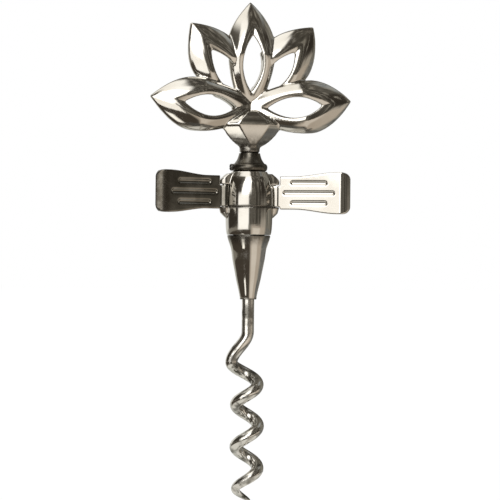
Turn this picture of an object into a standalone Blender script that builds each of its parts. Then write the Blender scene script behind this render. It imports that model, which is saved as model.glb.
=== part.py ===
"""Direct-pull corkscrew with a cast lotus-flower grip and two folding finger wings.

The worm's axis is the Z axis, and the worm's tip is at the height of the origin. +X runs along
the flower's width, and the flower's rounded outer face looks towards -Y. All sizes are in metres.

From bottom to top, one wire makes the worm and the shank. The shank runs through the nose cone,
both halves of the barrel and the neck ferrule, and screws into the flower's neck. A washer and
a nut inside the nose cone clamp that stack, and a small screw in the ferrule stops the flower
from turning. Each wing turns on an upright pin, trapped in blind holes of the two barrel halves.
"""

import math
from typing import NamedTuple

import bmesh
import bpy
from mathutils import Matrix

# Fits
SEAT_GAP = 0.0003
TURNING_CLEARANCE = 0.0001
LOCATING_CLEARANCE = 0.00015
CUT_OVERRUN = 0.001

# Worm and shank, one wire
WIRE_RADIUS = 0.0017
HELIX_RADIUS = 0.00305
HELIX_PITCH = 0.0117
HELIX_HEIGHT = 0.0387
LEAD_HEIGHT = 0.0086
LEAD_TURN_DEG = 30
POINT_HEIGHT = 0.0090
POINT_TIP_SHARE = 0.12
COIL_THROW = 0.0014
COIL_THROW_REACH = 0.0080
TIP_DIRECTION_DEG = 54
THREAD_LENGTH = 0.0052
HELIX_POINTS_PER_TURN = 22
LEAD_POINTS = 12

# Nose cone
NOSE_TIP_HEIGHT = 0.0563
NOSE_LENGTH = 0.0178
NOSE_TOP_RADIUS = 0.0060
NOSE_TIP_RADIUS = 0.0023
NOSE_EDGE = 0.0002
NOSE_PROFILE_SHARES = (
    (0.07, 0.93), (0.15, 0.8), (0.23, 0.69), (0.39, 0.58),
    (0.55, 0.43), (0.7, 0.29), (0.85, 0.12), (0.95, 0.02),
)

# Nut and washer inside the nose cone
WASHER_RADIUS = 0.0031
WASHER_THICKNESS = 0.0006
NUT_RADIUS = 0.0030
NUT_THICKNESS = 0.0018
NUT_SIDES = 6

# Barrel, in two halves that meet at a seam
BARREL_RADIUS = 0.0065
BARREL_FOOT_RADIUS = 0.0061
BARREL_TOP_RADIUS = 0.0049
BARREL_LOWER_LENGTH = 0.00735
BARREL_UPPER_LENGTH = 0.0095
BARREL_LOWER_SHARES = ((0.45, 0.97), (0.75, 0.75), (0.9, 0.45), (1.0, 0.0))
BARREL_UPPER_SHARES = ((1.0, 0.0), (0.93, 0.27), (0.83, 0.54), (0.66, 0.79), (0.4, 0.96))
SEAM_EDGE = 0.00015
REGISTER_RADIUS = 0.0036
REGISTER_LENGTH = 0.0015
SPIGOT_RADIUS = 0.0042
SPIGOT_LENGTH = 0.0020

# Hinges of the wings
HINGE_STANDOFF = 0.0004
KNUCKLE_RADIUS = 0.0017
KNUCKLE_HEIGHT = 0.00585
LUG_RADIUS = 0.00175
LUG_RUN_IN = 0.0013
LUG_SHOULDER_DROP = 0.0004
LUG_SLOPE_START = 0.0004
LUG_SLOPE_DEG = 36
LOWER_LUG_HEIGHT = 0.0038
LOWER_LUG_SHARES = ((0.0, 1.0), (0.55, 0.93), (0.8, 0.76), (1.0, 0.5))
PIN_RADIUS = 0.0008
PIN_DEPTH_IN_LUG = 0.0014

# Wings
WING_THICKNESS = 0.0015
WING_STRAIGHT = 0.0186
WING_CURL_RADIUS = 0.0026
WING_CURL_DEG = 65
WING_RISE = 0.0039
WING_ROOT_HALF_HEIGHT = 0.0046
WING_END_HALF_HEIGHT = 0.0058
WING_FLARE_START = 0.0060
WING_FLARE_LENGTH = 0.0120
WING_CORNER_RADIUS = 0.0024
WING_ROOT_RELIEF = 0.0021
GROOVE_RADIUS = 0.00075
GROOVE_DEPTH = 0.0004
GROOVE_SPACING = 0.0028
LONG_GROOVE_START = 0.0028
LONG_GROOVE_END = 0.0176
SHORT_GROOVE_START = 0.0049
SHORT_GROOVE_END = 0.0155
RIGHT_WING_FORWARD_DEG = 26
LEFT_WING_FORWARD_DEG = 17.5
CURL_STEPS = 8
CORNER_STEPS = 5
FLARE_STEPS = 6
GROOVE_SIDES = 12

# Neck ferrule and its screw
FERRULE_LENGTH = 0.0050
FERRULE_TOP_RADIUS = 0.0029
FERRULE_WAIST_RADIUS = 0.0042
RIM_RADIUS = 0.0053
RIM_HEIGHT = 0.0021
RIM_STEPS = 6
SCREW_RADIUS = 0.0006
SCREW_HEAD_RADIUS = 0.0008
SCREW_HEAD_STANDOUT = 0.0004
SCREW_HEAD_SINK = 0.0006

# Neck, tang and calyx of the flower. Each section of the calyx has its place and its sizes as
# shares: of the height, the width, the front depth, the back depth, the way to flat facets, and
# of half the section's width for its middle facet.
TANG_RADIUS = 0.0023
NECK_RADIUS = 0.0028
NECK_HEIGHT = 0.0011
CALYX_HEIGHT = 0.0066
CALYX_CROWN_HEIGHT = 0.0036
CALYX_HALF_WIDTH = 0.0090
CALYX_FRONT_DEPTH = 0.0046
CALYX_BACK_DEPTH = 0.0031
CALYX_EDGE_FORWARD = 0.0020
CALYX_SHARES = (
    (0.0, 0.34, 0.62, 0.92, 0.0, 0.1),
    (0.07, 0.42, 0.66, 0.95, 0.45, 0.14),
    (0.17, 0.52, 0.73, 1.0, 0.9, 0.2),
    (0.36, 0.67, 0.83, 1.0, 1.0, 0.29),
    (0.6, 0.82, 0.91, 1.0, 1.0, 0.38),
    (0.85, 0.95, 0.97, 1.0, 1.0, 0.45),
    (1.0, 1.0, 1.0, 1.0, 1.0, 0.48),
)
CALYX_CROWN_SHARES = (
    (0.3, 0.84, 0.98, 1.0, 1.0, 0.48),
    (0.65, 0.56, 0.88, 0.9, 1.0, 0.46),
    (1.0, 0.28, 0.7, 0.5, 1.0, 0.44),
)
CALYX_SIDES = 24

# Petals. Tip reach is how far a tip comes forward, and sag how far a spine dips in its middle.
HUB_RISE = 0.01225
UPRIGHT_PETAL_LENGTH = 0.0295
UPPER_PETAL_LENGTH = 0.0289
LOWER_PETAL_LENGTH = 0.0289
UPRIGHT_PETAL_HALF_WIDTH = 0.0068
UPPER_PETAL_HALF_WIDTH = 0.0074
LOWER_PETAL_HALF_WIDTH = 0.0074
UPPER_PETAL_LEAN_DEG = 37.4
LOWER_PETAL_LEAN_DEG = 85
UPPER_PETAL_SET_BACK = 0.0014
LOWER_PETAL_SET_FORWARD = 0.0008
UPPER_PETAL_TIP_REACH = 0.0038
LOWER_PETAL_TIP_REACH = 0.0017
LOWER_PETAL_SAG = 0.0008
PETAL_THICKNESS = 0.0019
PETAL_BOW = 0.0050
PETAL_ROOF_POWER = 1.4
PETAL_DROOP = 0.0028
PETAL_ROOT_SHARE = -0.04
PETAL_ROOT_WIDTH_SHARE = 0.36
PETAL_WIDEST_SHARE = 0.58
PETAL_ROOT_CURVE = 2.0
PETAL_TIP_CURVE = 1.85
OPENING_START_SHARE = 0.155
OPENING_END_SHARE = 0.68
OPENING_HALF_WIDTH = 0.0028
OPENING_TRIM = 0.0001
PETAL_LIP = 0.0007
PETAL_RIM_SHARES = ((0.0, 0.35), (0.4, 0.0), (0.78, 0.1), (1.0, 1.0))
PETAL_SIDE_STEPS = 18

# Finish
TURN_STEPS = 40
BAR_SIDES = 24
SHARP_DEG = 35
NICKEL_COLOUR = (0.56, 0.53, 0.48, 1.0)
STEEL_COLOUR = (0.46, 0.45, 0.43, 1.0)
POLISHED_ROUGHNESS = 0.12
TURNED_ROUGHNESS = 0.3

SIDES = (("left", -1), ("right", 1))

# Heights of the stack, worked out from the sizes above
NOSE_TOP_Z = NOSE_TIP_HEIGHT + NOSE_LENGTH
BARREL_FOOT_Z = NOSE_TOP_Z + SEAT_GAP
SEAM_LOW_Z = BARREL_FOOT_Z + BARREL_LOWER_LENGTH
SEAM_HIGH_Z = SEAM_LOW_Z + SEAT_GAP
BARREL_TOP_Z = SEAM_HIGH_Z + BARREL_UPPER_LENGTH
FERRULE_FOOT_Z = BARREL_TOP_Z + SEAT_GAP
FERRULE_TOP_Z = FERRULE_FOOT_Z + FERRULE_LENGTH
NECK_FOOT_Z = FERRULE_TOP_Z + SEAT_GAP
CALYX_FOOT_Z = NECK_FOOT_Z + NECK_HEIGHT
CALYX_TOP_Z = CALYX_FOOT_Z + CALYX_HEIGHT
HUB_Z = NECK_FOOT_Z + HUB_RISE
SHANK_TOP_Z = NECK_FOOT_Z + THREAD_LENGTH
SPIGOT_FOOT_Z = BARREL_FOOT_Z - SPIGOT_LENGTH
WASHER_TOP_Z = SPIGOT_FOOT_Z - SEAT_GAP
WASHER_FOOT_Z = WASHER_TOP_Z - WASHER_THICKNESS
NUT_TOP_Z = WASHER_FOOT_Z - SEAT_GAP
NUT_FOOT_Z = NUT_TOP_Z - NUT_THICKNESS
KNUCKLE_FOOT_Z = SEAM_LOW_Z + SEAT_GAP
KNUCKLE_TOP_Z = KNUCKLE_FOOT_Z + KNUCKLE_HEIGHT
UPPER_LUG_FOOT_Z = KNUCKLE_TOP_Z + SEAT_GAP
LUG_TOP_Z = BARREL_TOP_Z - LUG_SHOULDER_DROP
WING_CENTRE_Z = KNUCKLE_FOOT_Z + WING_RISE
PIN_HOLE_FOOT_Z = SEAM_LOW_Z - PIN_DEPTH_IN_LUG
PIN_HOLE_TOP_Z = UPPER_LUG_FOOT_Z + PIN_DEPTH_IN_LUG
SCREW_Z = FERRULE_FOOT_Z + RIM_HEIGHT / 2

# Radii and places that follow from a fit
SHANK_BORE = WIRE_RADIUS + LOCATING_CLEARANCE
PIN_BORE = PIN_RADIUS + TURNING_CLEARANCE
FERRULE_BORE = TANG_RADIUS + LOCATING_CLEARANCE
SCREW_BORE = SCREW_RADIUS + LOCATING_CLEARANCE
HINGE_X = BARREL_RADIUS + HINGE_STANDOFF
SCALLOP_RADIUS = KNUCKLE_RADIUS + SEAT_GAP
LUG_INNER_X = HINGE_X - LUG_RUN_IN - LUG_RADIUS
MERGE_DISTANCE = SEAT_GAP / 100


def clear_scene():
    for obj in list(bpy.data.objects):
        bpy.data.objects.remove(obj, do_unlink=True)


def new_collection(name):
    collection = bpy.data.collections.new(name)
    bpy.context.scene.collection.children.link(collection)
    return collection


def metal(name, colour, roughness):
    material = bpy.data.materials.new(name)
    material.use_nodes = True
    shader = material.node_tree.nodes["Principled BSDF"]
    shader.inputs["Base Color"].default_value = colour
    shader.inputs["Metallic"].default_value = 1.0
    shader.inputs["Roughness"].default_value = roughness
    material.diffuse_color = colour
    return material


def nickel(name):
    return metal(name, NICKEL_COLOUR, POLISHED_ROUGHNESS)


def steel(name):
    return metal(name, STEEL_COLOUR, TURNED_ROUGHNESS)


def object_from(bm, name, collection, material=None):
    """Turns the bmesh into an object. One without a material is a helper for Booleans."""
    mesh = bpy.data.meshes.new(name)
    bm.to_mesh(mesh)
    bm.free()
    obj = bpy.data.objects.new(name, mesh)
    collection.objects.link(obj)
    if material:
        mesh.shade_smooth()
        mesh.set_sharp_from_angle(angle=math.radians(SHARP_DEG))
        mesh.materials.append(material)
    else:
        obj.hide_render = True
        obj.display_type = "WIRE"
    return obj


def boolean(obj, operation, other, solver="EXACT"):
    modifier = obj.modifiers.new(f"{operation.title()} {other.name}", "BOOLEAN")
    modifier.operation = operation
    modifier.object = other
    modifier.solver = solver


def blend(low, high, share):
    return low + (high - low) * share


def smooth_step(share):
    """0 to 1 with level ends, for a share that is first held between 0 and 1."""
    held = min(max(share, 0), 1)
    return held * held * (3 - 2 * held)


def turned(name, profile, collection, material):
    """A hollow piece turned about Z, from a (radius, height) profile that runs down the outside
    and up the bore."""
    bm = bmesh.new()
    verts = [bm.verts.new((radius, 0, height)) for radius, height in profile]
    for first, second in zip(verts, verts[1:] + verts[:1]):
        bm.edges.new((first, second))
    obj = object_from(bm, name, collection, material)
    screw = obj.modifiers.new("Turn", "SCREW")
    screw.axis = "Z"
    screw.angle = math.tau
    screw.steps = TURN_STEPS
    screw.render_steps = TURN_STEPS
    screw.use_smooth_shade = True
    screw.use_merge_vertices = True
    screw.merge_threshold = MERGE_DISTANCE
    return obj


def rod(name, radius, foot, top, collection, material=None, x=0.0, sides=BAR_SIDES):
    """An upright round bar from foot to top, with its axis at x."""
    bm = bmesh.new()
    bmesh.ops.create_cone(
        bm, cap_ends=True, segments=sides, radius1=radius, radius2=radius, depth=top - foot
    )
    bmesh.ops.translate(bm, vec=(x, 0, (top + foot) / 2), verts=bm.verts)
    return object_from(bm, name, collection, material)


def cross_bar(name, radius, inner, outer, collection, material=None):
    """A round bar along X at the screw's height, from x = -inner out to x = -outer."""
    bm = bmesh.new()
    turn = Matrix.Rotation(math.pi / 2, 4, "Y")
    bmesh.ops.create_cone(
        bm, cap_ends=True, segments=BAR_SIDES, radius1=radius, radius2=radius,
        depth=outer - inner, matrix=Matrix.Translation((-(inner + outer) / 2, 0, SCREW_Z)) @ turn,
    )
    return object_from(bm, name, collection, material)


def skin(rings, closed):
    """Faces through rings of points that have the same count. A closed skin joins its last ring
    to its first, and an open one gets a cap on both."""
    bm = bmesh.new()
    loops = [[bm.verts.new(point) for point in ring] for ring in rings]
    followers = loops[1:] + loops[:1] if closed else loops[1:]
    for low, high in zip(loops, followers):
        for index in range(len(low)):
            after = (index + 1) % len(low)
            bm.faces.new((low[index], low[after], high[after], high[index]))
    if not closed:
        bm.faces.new(loops[0])
        bm.faces.new(loops[-1])
    bmesh.ops.remove_doubles(bm, verts=bm.verts, dist=MERGE_DISTANCE)
    bmesh.ops.recalc_face_normals(bm, faces=bm.faces)
    return bm


def helix_turn(height):
    return math.radians(TIP_DIRECTION_DEG) + math.tau * height / HELIX_PITCH


def worm_point(height):
    """Centre line of the coil and of the lead, where the wire swings in to the axis."""
    above = smooth_step((height - HELIX_HEIGHT) / LEAD_HEIGHT)
    turn = helix_turn(min(height, HELIX_HEIGHT)) + math.radians(LEAD_TURN_DEG) * above
    radius = HELIX_RADIUS * (1 - above)
    # The first coil stands a little to one side of the shank.
    lowest = HELIX_HEIGHT - COIL_THROW_REACH
    share = min(max((height - lowest) / (COIL_THROW_REACH + LEAD_HEIGHT), 0), 1)
    throw = COIL_THROW * math.sin(math.pi * share) ** 2
    side = helix_turn(HELIX_HEIGHT)
    x = radius * math.cos(turn) + throw * math.cos(side)
    y = radius * math.sin(turn) + throw * math.sin(side)
    return x, y, height


def worm_heights():
    coil_points = math.ceil(HELIX_POINTS_PER_TURN * HELIX_HEIGHT / HELIX_PITCH)
    for index in range(coil_points):
        yield HELIX_HEIGHT * index / coil_points
    for index in range(LEAD_POINTS + 1):
        yield HELIX_HEIGHT + LEAD_HEIGHT * index / LEAD_POINTS


def build_worm(collection):
    """The wire as a bevelled curve: sharpened at the tip, coiled, led in and straight above."""
    points = [worm_point(height) for height in worm_heights()]
    points.append((0, 0, SHANK_TOP_Z))
    curve = bpy.data.curves.new("worm", "CURVE")
    curve.dimensions = "3D"
    curve.bevel_depth = WIRE_RADIUS
    curve.bevel_resolution = 2
    curve.use_fill_caps = True
    spline = curve.splines.new("POLY")
    spline.points.add(len(points) - 1)
    spline.use_smooth = True
    for point, place in zip(spline.points, points):
        point.co = (*place, 1)
        sharpened = min(place[2] / POINT_HEIGHT, 1) ** 0.5
        point.radius = blend(POINT_TIP_SHARE, 1, sharpened)
    curve.materials.append(steel("worm_wire"))
    collection.objects.link(bpy.data.objects.new("worm", curve))


def build_nose_cone(collection):
    """A tapered cone over the nut, bored for the shank and counterbored for nut and spigot."""
    outside = [
        (NOSE_TOP_RADIUS - NOSE_EDGE, NOSE_TOP_Z),
        (NOSE_TOP_RADIUS, NOSE_TOP_Z - NOSE_EDGE),
    ]
    for down, width in NOSE_PROFILE_SHARES:
        radius = blend(NOSE_TIP_RADIUS, NOSE_TOP_RADIUS, width)
        outside.append((radius, NOSE_TOP_Z - NOSE_LENGTH * down))
    outside.append((NOSE_TIP_RADIUS, NOSE_TIP_HEIGHT))
    chamber = WASHER_RADIUS + SEAT_GAP
    socket = SPIGOT_RADIUS + LOCATING_CLEARANCE
    inside = [
        (SHANK_BORE, NOSE_TIP_HEIGHT),
        (SHANK_BORE, NUT_FOOT_Z - SEAT_GAP),
        (chamber, NUT_FOOT_Z - SEAT_GAP),
        (chamber, SPIGOT_FOOT_Z - SEAT_GAP),
        (socket, SPIGOT_FOOT_Z - SEAT_GAP),
        (socket, NOSE_TOP_Z),
    ]
    turned("nose_cone", outside + inside, collection, nickel("nose_nickel"))


def build_washer(collection):
    profile = [
        (WASHER_RADIUS, WASHER_TOP_Z),
        (WASHER_RADIUS, WASHER_FOOT_Z),
        (SHANK_BORE, WASHER_FOOT_Z),
        (SHANK_BORE, WASHER_TOP_Z),
    ]
    turned("shank_washer", profile, collection, steel("washer_steel"))


def build_nut(collection, cutters):
    """The hexagon nut on the shank's thread."""
    nut = rod(
        "shank_nut", NUT_RADIUS, NUT_FOOT_Z, NUT_TOP_Z, collection, steel("nut_steel"),
        sides=NUT_SIDES,
    )
    foot = NUT_FOOT_Z - CUT_OVERRUN
    top = NUT_TOP_Z + CUT_OVERRUN
    boolean(nut, "DIFFERENCE", rod("nut_bore", SHANK_BORE, foot, top, cutters))


def lug_ring(size, height):
    """A lug's outline on the right, round at the hinge and run inwards into the barrel, drawn
    in towards its inner end by a size under 1."""
    ring = []
    for index in range(BAR_SIDES):
        turn = math.tau * (index + 0.5) / BAR_SIDES
        x = HINGE_X + LUG_RADIUS * math.cos(turn)
        if x < HINGE_X:
            x -= LUG_RUN_IN
        ring.append((blend(LUG_INNER_X, x, size), LUG_RADIUS * size * math.sin(turn), height))
    return ring


def to_side(bm, side):
    """Mirrors what was made on the right to the left where side is -1, then mends the normals."""
    bmesh.ops.scale(bm, vec=(side, 1, 1), verts=bm.verts)
    bmesh.ops.recalc_face_normals(bm, faces=bm.faces)


def upper_lug(name, side, cutters):
    """The lug over a knuckle, with a top that slopes down and outwards from the barrel."""
    bm = skin([lug_ring(1, UPPER_LUG_FOOT_Z), lug_ring(1, LUG_TOP_Z)], closed=False)
    slope = math.radians(LUG_SLOPE_DEG)
    cut = bmesh.ops.bisect_plane(
        bm,
        geom=bm.verts[:] + bm.edges[:] + bm.faces[:],
        plane_co=(HINGE_X - LUG_SLOPE_START, 0, LUG_TOP_Z),
        plane_no=(math.sin(slope), 0, math.cos(slope)),
        clear_outer=True,
    )
    edges = [item for item in cut["geom_cut"] if isinstance(item, bmesh.types.BMEdge)]
    bmesh.ops.edgeloop_fill(bm, edges=edges)
    to_side(bm, side)
    return object_from(bm, name, cutters)


def lower_lug(name, side, cutters):
    """The lug under a knuckle, a hook that draws in towards the barrel at its foot."""
    rings = [lug_ring(size, SEAM_LOW_Z - LOWER_LUG_HEIGHT * down) for down, size in LOWER_LUG_SHARES]
    bm = skin(rings, closed=False)
    to_side(bm, side)
    return object_from(bm, name, cutters)


def build_barrel_lower(collection, cutters):
    """The lower half: a spigot for the nose cone below, lower lugs, and a recess at the seam."""
    outside = [(BARREL_RADIUS - SEAM_EDGE, SEAM_LOW_Z), (BARREL_RADIUS, SEAM_LOW_Z - SEAM_EDGE)]
    for down, width in BARREL_LOWER_SHARES:
        radius = blend(BARREL_FOOT_RADIUS, BARREL_RADIUS, width)
        outside.append((radius, SEAM_LOW_Z - BARREL_LOWER_LENGTH * down))
    recess = REGISTER_RADIUS + LOCATING_CLEARANCE
    inside = [
        (SPIGOT_RADIUS, BARREL_FOOT_Z),
        (SPIGOT_RADIUS, SPIGOT_FOOT_Z),
        (SHANK_BORE, SPIGOT_FOOT_Z),
        (SHANK_BORE, SEAM_LOW_Z - REGISTER_LENGTH),
        (recess, SEAM_LOW_Z - REGISTER_LENGTH),
        (recess, SEAM_LOW_Z),
    ]
    profile = outside + inside
    barrel = turned("barrel_lower", profile, collection, nickel("barrel_lower_nickel"))
    for label, side in SIDES:
        boolean(barrel, "UNION", lower_lug(f"{label}_lower_lug", side, cutters))
        hole = rod(
            f"{label}_lower_pin_hole", PIN_BORE, PIN_HOLE_FOOT_Z, SEAM_LOW_Z + CUT_OVERRUN,
            cutters, x=side * HINGE_X,
        )
        boolean(barrel, "DIFFERENCE", hole)


def build_barrel_upper(collection, cutters):
    """The upper half: upper lugs, scallops that the knuckles turn in, and a register below."""
    outside = []
    for up, width in BARREL_UPPER_SHARES:
        radius = blend(BARREL_TOP_RADIUS, BARREL_RADIUS, width)
        outside.append((radius, SEAM_HIGH_Z + BARREL_UPPER_LENGTH * up))
    outside += [
        (BARREL_RADIUS, SEAM_HIGH_Z + SEAM_EDGE),
        (BARREL_RADIUS - SEAM_EDGE, SEAM_HIGH_Z),
        (REGISTER_RADIUS, SEAM_HIGH_Z),
        (REGISTER_RADIUS, SEAM_HIGH_Z - REGISTER_LENGTH),
    ]
    inside = [(SHANK_BORE, SEAM_HIGH_Z - REGISTER_LENGTH), (SHANK_BORE, BARREL_TOP_Z)]
    profile = outside + inside
    barrel = turned("barrel_upper", profile, collection, nickel("barrel_upper_nickel"))
    for label, side in SIDES:
        boolean(barrel, "UNION", upper_lug(f"{label}_upper_lug", side, cutters))
        scallop = rod(
            f"{label}_scallop", SCALLOP_RADIUS, SEAM_HIGH_Z - CUT_OVERRUN, UPPER_LUG_FOOT_Z,
            cutters, x=side * HINGE_X,
        )
        boolean(barrel, "DIFFERENCE", scallop)
        hole = rod(
            f"{label}_upper_pin_hole", PIN_BORE, UPPER_LUG_FOOT_Z - CUT_OVERRUN, PIN_HOLE_TOP_Z,
            cutters, x=side * HINGE_X,
        )
        boolean(barrel, "DIFFERENCE", hole)


def build_hinge_pins(collection):
    for label, side in SIDES:
        rod(
            f"{label}_hinge_pin", PIN_RADIUS, PIN_HOLE_FOOT_Z + SEAT_GAP,
            PIN_HOLE_TOP_Z - SEAT_GAP, collection, steel(f"{label}_pin_steel"),
            x=side * HINGE_X,
        )


def wing_half_height(along):
    """Half of the wing's height at a distance from its pivot, which flares towards the end."""
    share = smooth_step((along - WING_FLARE_START) / WING_FLARE_LENGTH)
    return blend(WING_ROOT_HALF_HEIGHT, WING_END_HALF_HEIGHT, share)


def wing_outline():
    """The wing's outline seen from the front, from the pivot out and back again."""
    reach = WING_STRAIGHT + WING_CURL_RADIUS * math.sin(math.radians(WING_CURL_DEG))
    corner_x = reach + WING_THICKNESS / 2 - WING_CORNER_RADIUS
    corner_z = wing_half_height(corner_x) - WING_CORNER_RADIUS
    upper = []
    for index in range(FLARE_STEPS + 1):
        along = corner_x * index / FLARE_STEPS
        upper.append((along, wing_half_height(along)))
    for index in range(CORNER_STEPS):
        turn = math.pi / 2 * index / CORNER_STEPS
        upper.append((
            corner_x + WING_CORNER_RADIUS * math.cos(math.pi / 2 - turn),
            corner_z + WING_CORNER_RADIUS * math.sin(math.pi / 2 - turn),
        ))
    upper.append((corner_x + WING_CORNER_RADIUS, corner_z))
    return upper + [(along, -height) for along, height in reversed(upper)]


def wing_blank(label, side, cutters):
    """The wing's outline as a thick block, which trims the curled strip."""
    deep = WING_CURL_RADIUS + WING_THICKNESS + CUT_OVERRUN
    outline = wing_outline()
    rings = [[(x, y, z) for x, z in outline] for y in (-deep, deep)]
    bm = skin(rings, closed=False)
    to_side(bm, side)
    return object_from(bm, f"{label}_wing_outline", cutters)


def groove(name, side, start, end, height, face, cutters):
    """A bar with ball ends that presses one groove into a face of the wing, +1 back, -1 front."""
    bm = bmesh.new()
    bmesh.ops.create_uvsphere(
        bm, u_segments=GROOVE_SIDES, v_segments=GROOVE_SIDES // 2, radius=GROOVE_RADIUS
    )
    bmesh.ops.rotate(bm, matrix=Matrix.Rotation(math.pi / 2, 3, "Y"), verts=bm.verts)
    outer = [vert for vert in bm.verts if vert.co.x > -MERGE_DISTANCE]
    bmesh.ops.translate(bm, vec=(end - start - 2 * GROOVE_RADIUS, 0, 0), verts=outer)
    depth = WING_THICKNESS / 2 + GROOVE_RADIUS - GROOVE_DEPTH
    bmesh.ops.translate(bm, vec=(start + GROOVE_RADIUS, face * depth, height), verts=bm.verts)
    to_side(bm, side)
    return object_from(bm, name, cutters)


def wing_grooves(label, side, cutters):
    """Three pressed grooves on each face: a long one between two short ones."""
    for face_label, face in (("front", -1), ("back", 1)):
        for place_label, place in (("low", -1), ("middle", 0), ("high", 1)):
            start = SHORT_GROOVE_START if place else LONG_GROOVE_START
            end = SHORT_GROOVE_END if place else LONG_GROOVE_END
            name = f"{label}_{face_label}_{place_label}_groove"
            yield groove(name, side, start, end, place * GROOVE_SPACING, face, cutters)


def wing_strip(side, tall):
    """The wing before it is trimmed: a strip that runs straight out and then curls back."""
    centre_line = [(0, 0), (WING_STRAIGHT, 0)]
    for index in range(1, CURL_STEPS + 1):
        turn = math.radians(WING_CURL_DEG) * index / CURL_STEPS
        centre_line.append((
            WING_STRAIGHT + WING_CURL_RADIUS * math.sin(turn),
            WING_CURL_RADIUS * (1 - math.cos(turn)),
        ))
    bm = bmesh.new()
    verts = [bm.verts.new((side * x, y, -tall)) for x, y in centre_line]
    edges = [bm.edges.new(pair) for pair in zip(verts, verts[1:])]
    grown = bmesh.ops.extrude_edge_only(bm, edges=edges)["geom"]
    upper = [item for item in grown if isinstance(item, bmesh.types.BMVert)]
    bmesh.ops.translate(bm, vec=(0, 0, 2 * tall), verts=upper)
    return bm


def build_wing(label, side, forward_deg, collection, cutters):
    """A flared finger plate on its knuckle, with its end curled back. Its origin is its pivot."""
    tall = WING_END_HALF_HEIGHT + CUT_OVERRUN
    strip = wing_strip(side, tall)
    wing = object_from(strip, f"{label}_wing", collection, nickel(f"{label}_wing_nickel"))
    solid = wing.modifiers.new("Thickness", "SOLIDIFY")
    solid.thickness = WING_THICKNESS
    solid.offset = 0
    solid.use_even_offset = True
    foot = KNUCKLE_FOOT_Z - WING_CENTRE_Z
    top = KNUCKLE_TOP_Z - WING_CENTRE_Z
    steps = [
        ("INTERSECT", wing_blank(label, side, cutters)),
        ("DIFFERENCE", rod(f"{label}_relief_above", WING_ROOT_RELIEF, top, tall, cutters)),
        ("DIFFERENCE", rod(f"{label}_relief_below", WING_ROOT_RELIEF, -tall, foot, cutters)),
        ("UNION", rod(f"{label}_knuckle", KNUCKLE_RADIUS, foot, top, cutters)),
        ("DIFFERENCE", rod(f"{label}_pin_bore", PIN_BORE, -tall, tall, cutters)),
    ]
    steps += [("DIFFERENCE", cutter) for cutter in wing_grooves(label, side, cutters)]
    for operation, piece in steps:
        piece.parent = wing
        boolean(wing, operation, piece)
    wing.location = (side * HINGE_X, 0, WING_CENTRE_Z)
    wing.rotation_euler = (0, 0, -side * math.radians(forward_deg))


def build_ferrule(collection, cutters):
    """The flared collar under the flower, with a rounded rim and a seat for its screw."""
    profile = [(FERRULE_TOP_RADIUS, FERRULE_TOP_Z)]
    for index in range(RIM_STEPS + 1):
        turn = math.pi * index / RIM_STEPS
        radius = blend(FERRULE_WAIST_RADIUS, RIM_RADIUS, math.sin(turn))
        profile.append((radius, FERRULE_FOOT_Z + RIM_HEIGHT * (1 + math.cos(turn)) / 2))
    profile += [(FERRULE_BORE, FERRULE_FOOT_Z), (FERRULE_BORE, FERRULE_TOP_Z)]
    ferrule = turned("neck_ferrule", profile, collection, nickel("ferrule_nickel"))
    outside = RIM_RADIUS + CUT_OVERRUN
    boolean(ferrule, "DIFFERENCE", cross_bar("ferrule_screw_hole", SCREW_BORE, 0, outside, cutters))
    seat_radius = SCREW_HEAD_RADIUS + LOCATING_CLEARANCE
    seat = cross_bar(
        "ferrule_screw_seat", seat_radius, RIM_RADIUS - SCREW_HEAD_SINK, outside, cutters
    )
    boolean(ferrule, "DIFFERENCE", seat)


def build_handle_screw(collection, cutters):
    """The small screw through the ferrule and the tang, which stops just short of the shank."""
    head_foot = RIM_RADIUS - SCREW_HEAD_SINK + SEAT_GAP
    head_top = RIM_RADIUS + SCREW_HEAD_STANDOUT
    screw = cross_bar(
        "handle_screw", SCREW_RADIUS, WIRE_RADIUS + SEAT_GAP, (head_foot + head_top) / 2,
        collection, steel("screw_steel"),
    )
    head = cross_bar("handle_screw_head", SCREW_HEAD_RADIUS, head_foot, head_top, cutters)
    boolean(screw, "UNION", head)


def calyx_section(height, width_share, front_share, back_share, flatness, facet_share):
    """A section that goes from round, as the neck is, to six flat facets, front and back."""
    width = CALYX_HALF_WIDTH * width_share
    front = CALYX_FRONT_DEPTH * front_share
    back = CALYX_BACK_DEPTH * back_share
    edge = CALYX_EDGE_FORWARD * width_share
    facet = width * facet_share
    flank = (width + facet) / 2
    right = [
        (0, -front), (facet, -front), (flank, -(front + edge) / 2), (width, -edge),
        (flank, (back - edge) / 2), (facet, back), (0, back),
    ]
    corners = right + [(-x, y) for x, y in right[-2:0:-1]]
    for index in range(CALYX_SIDES):
        place = index * len(corners) / CALYX_SIDES
        first = corners[int(place)]
        second = corners[(int(place) + 1) % len(corners)]
        turn = math.tau * index / CALYX_SIDES - math.pi / 2
        round_x = NECK_RADIUS * math.cos(turn)
        round_y = NECK_RADIUS * math.sin(turn)
        flat_x = blend(first[0], second[0], place % 1)
        flat_y = blend(first[1], second[1], place % 1)
        yield blend(round_x, flat_x, flatness), blend(round_y, flat_y, flatness), height


def calyx():
    """The neck, the faceted calyx and its crown, as one loft."""
    rings = [list(calyx_section(NECK_FOOT_Z, *CALYX_SHARES[0][1:]))]
    for rise, *shares in CALYX_SHARES:
        rings.append(list(calyx_section(CALYX_FOOT_Z + CALYX_HEIGHT * rise, *shares)))
    for rise, *shares in CALYX_CROWN_SHARES:
        rings.append(list(calyx_section(CALYX_TOP_Z + CALYX_CROWN_HEIGHT * rise, *shares)))
    return skin(rings, closed=False)


class Petal(NamedTuple):
    """One petal's own sizes. Its side is -1 left, 1 right or 0 upright."""

    name: str
    side: int
    length: float
    half_width: float
    lean_deg: float = 0.0
    set_back: float = 0.0
    tip_reach: float = 0.0
    sag: float = 0.0


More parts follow.
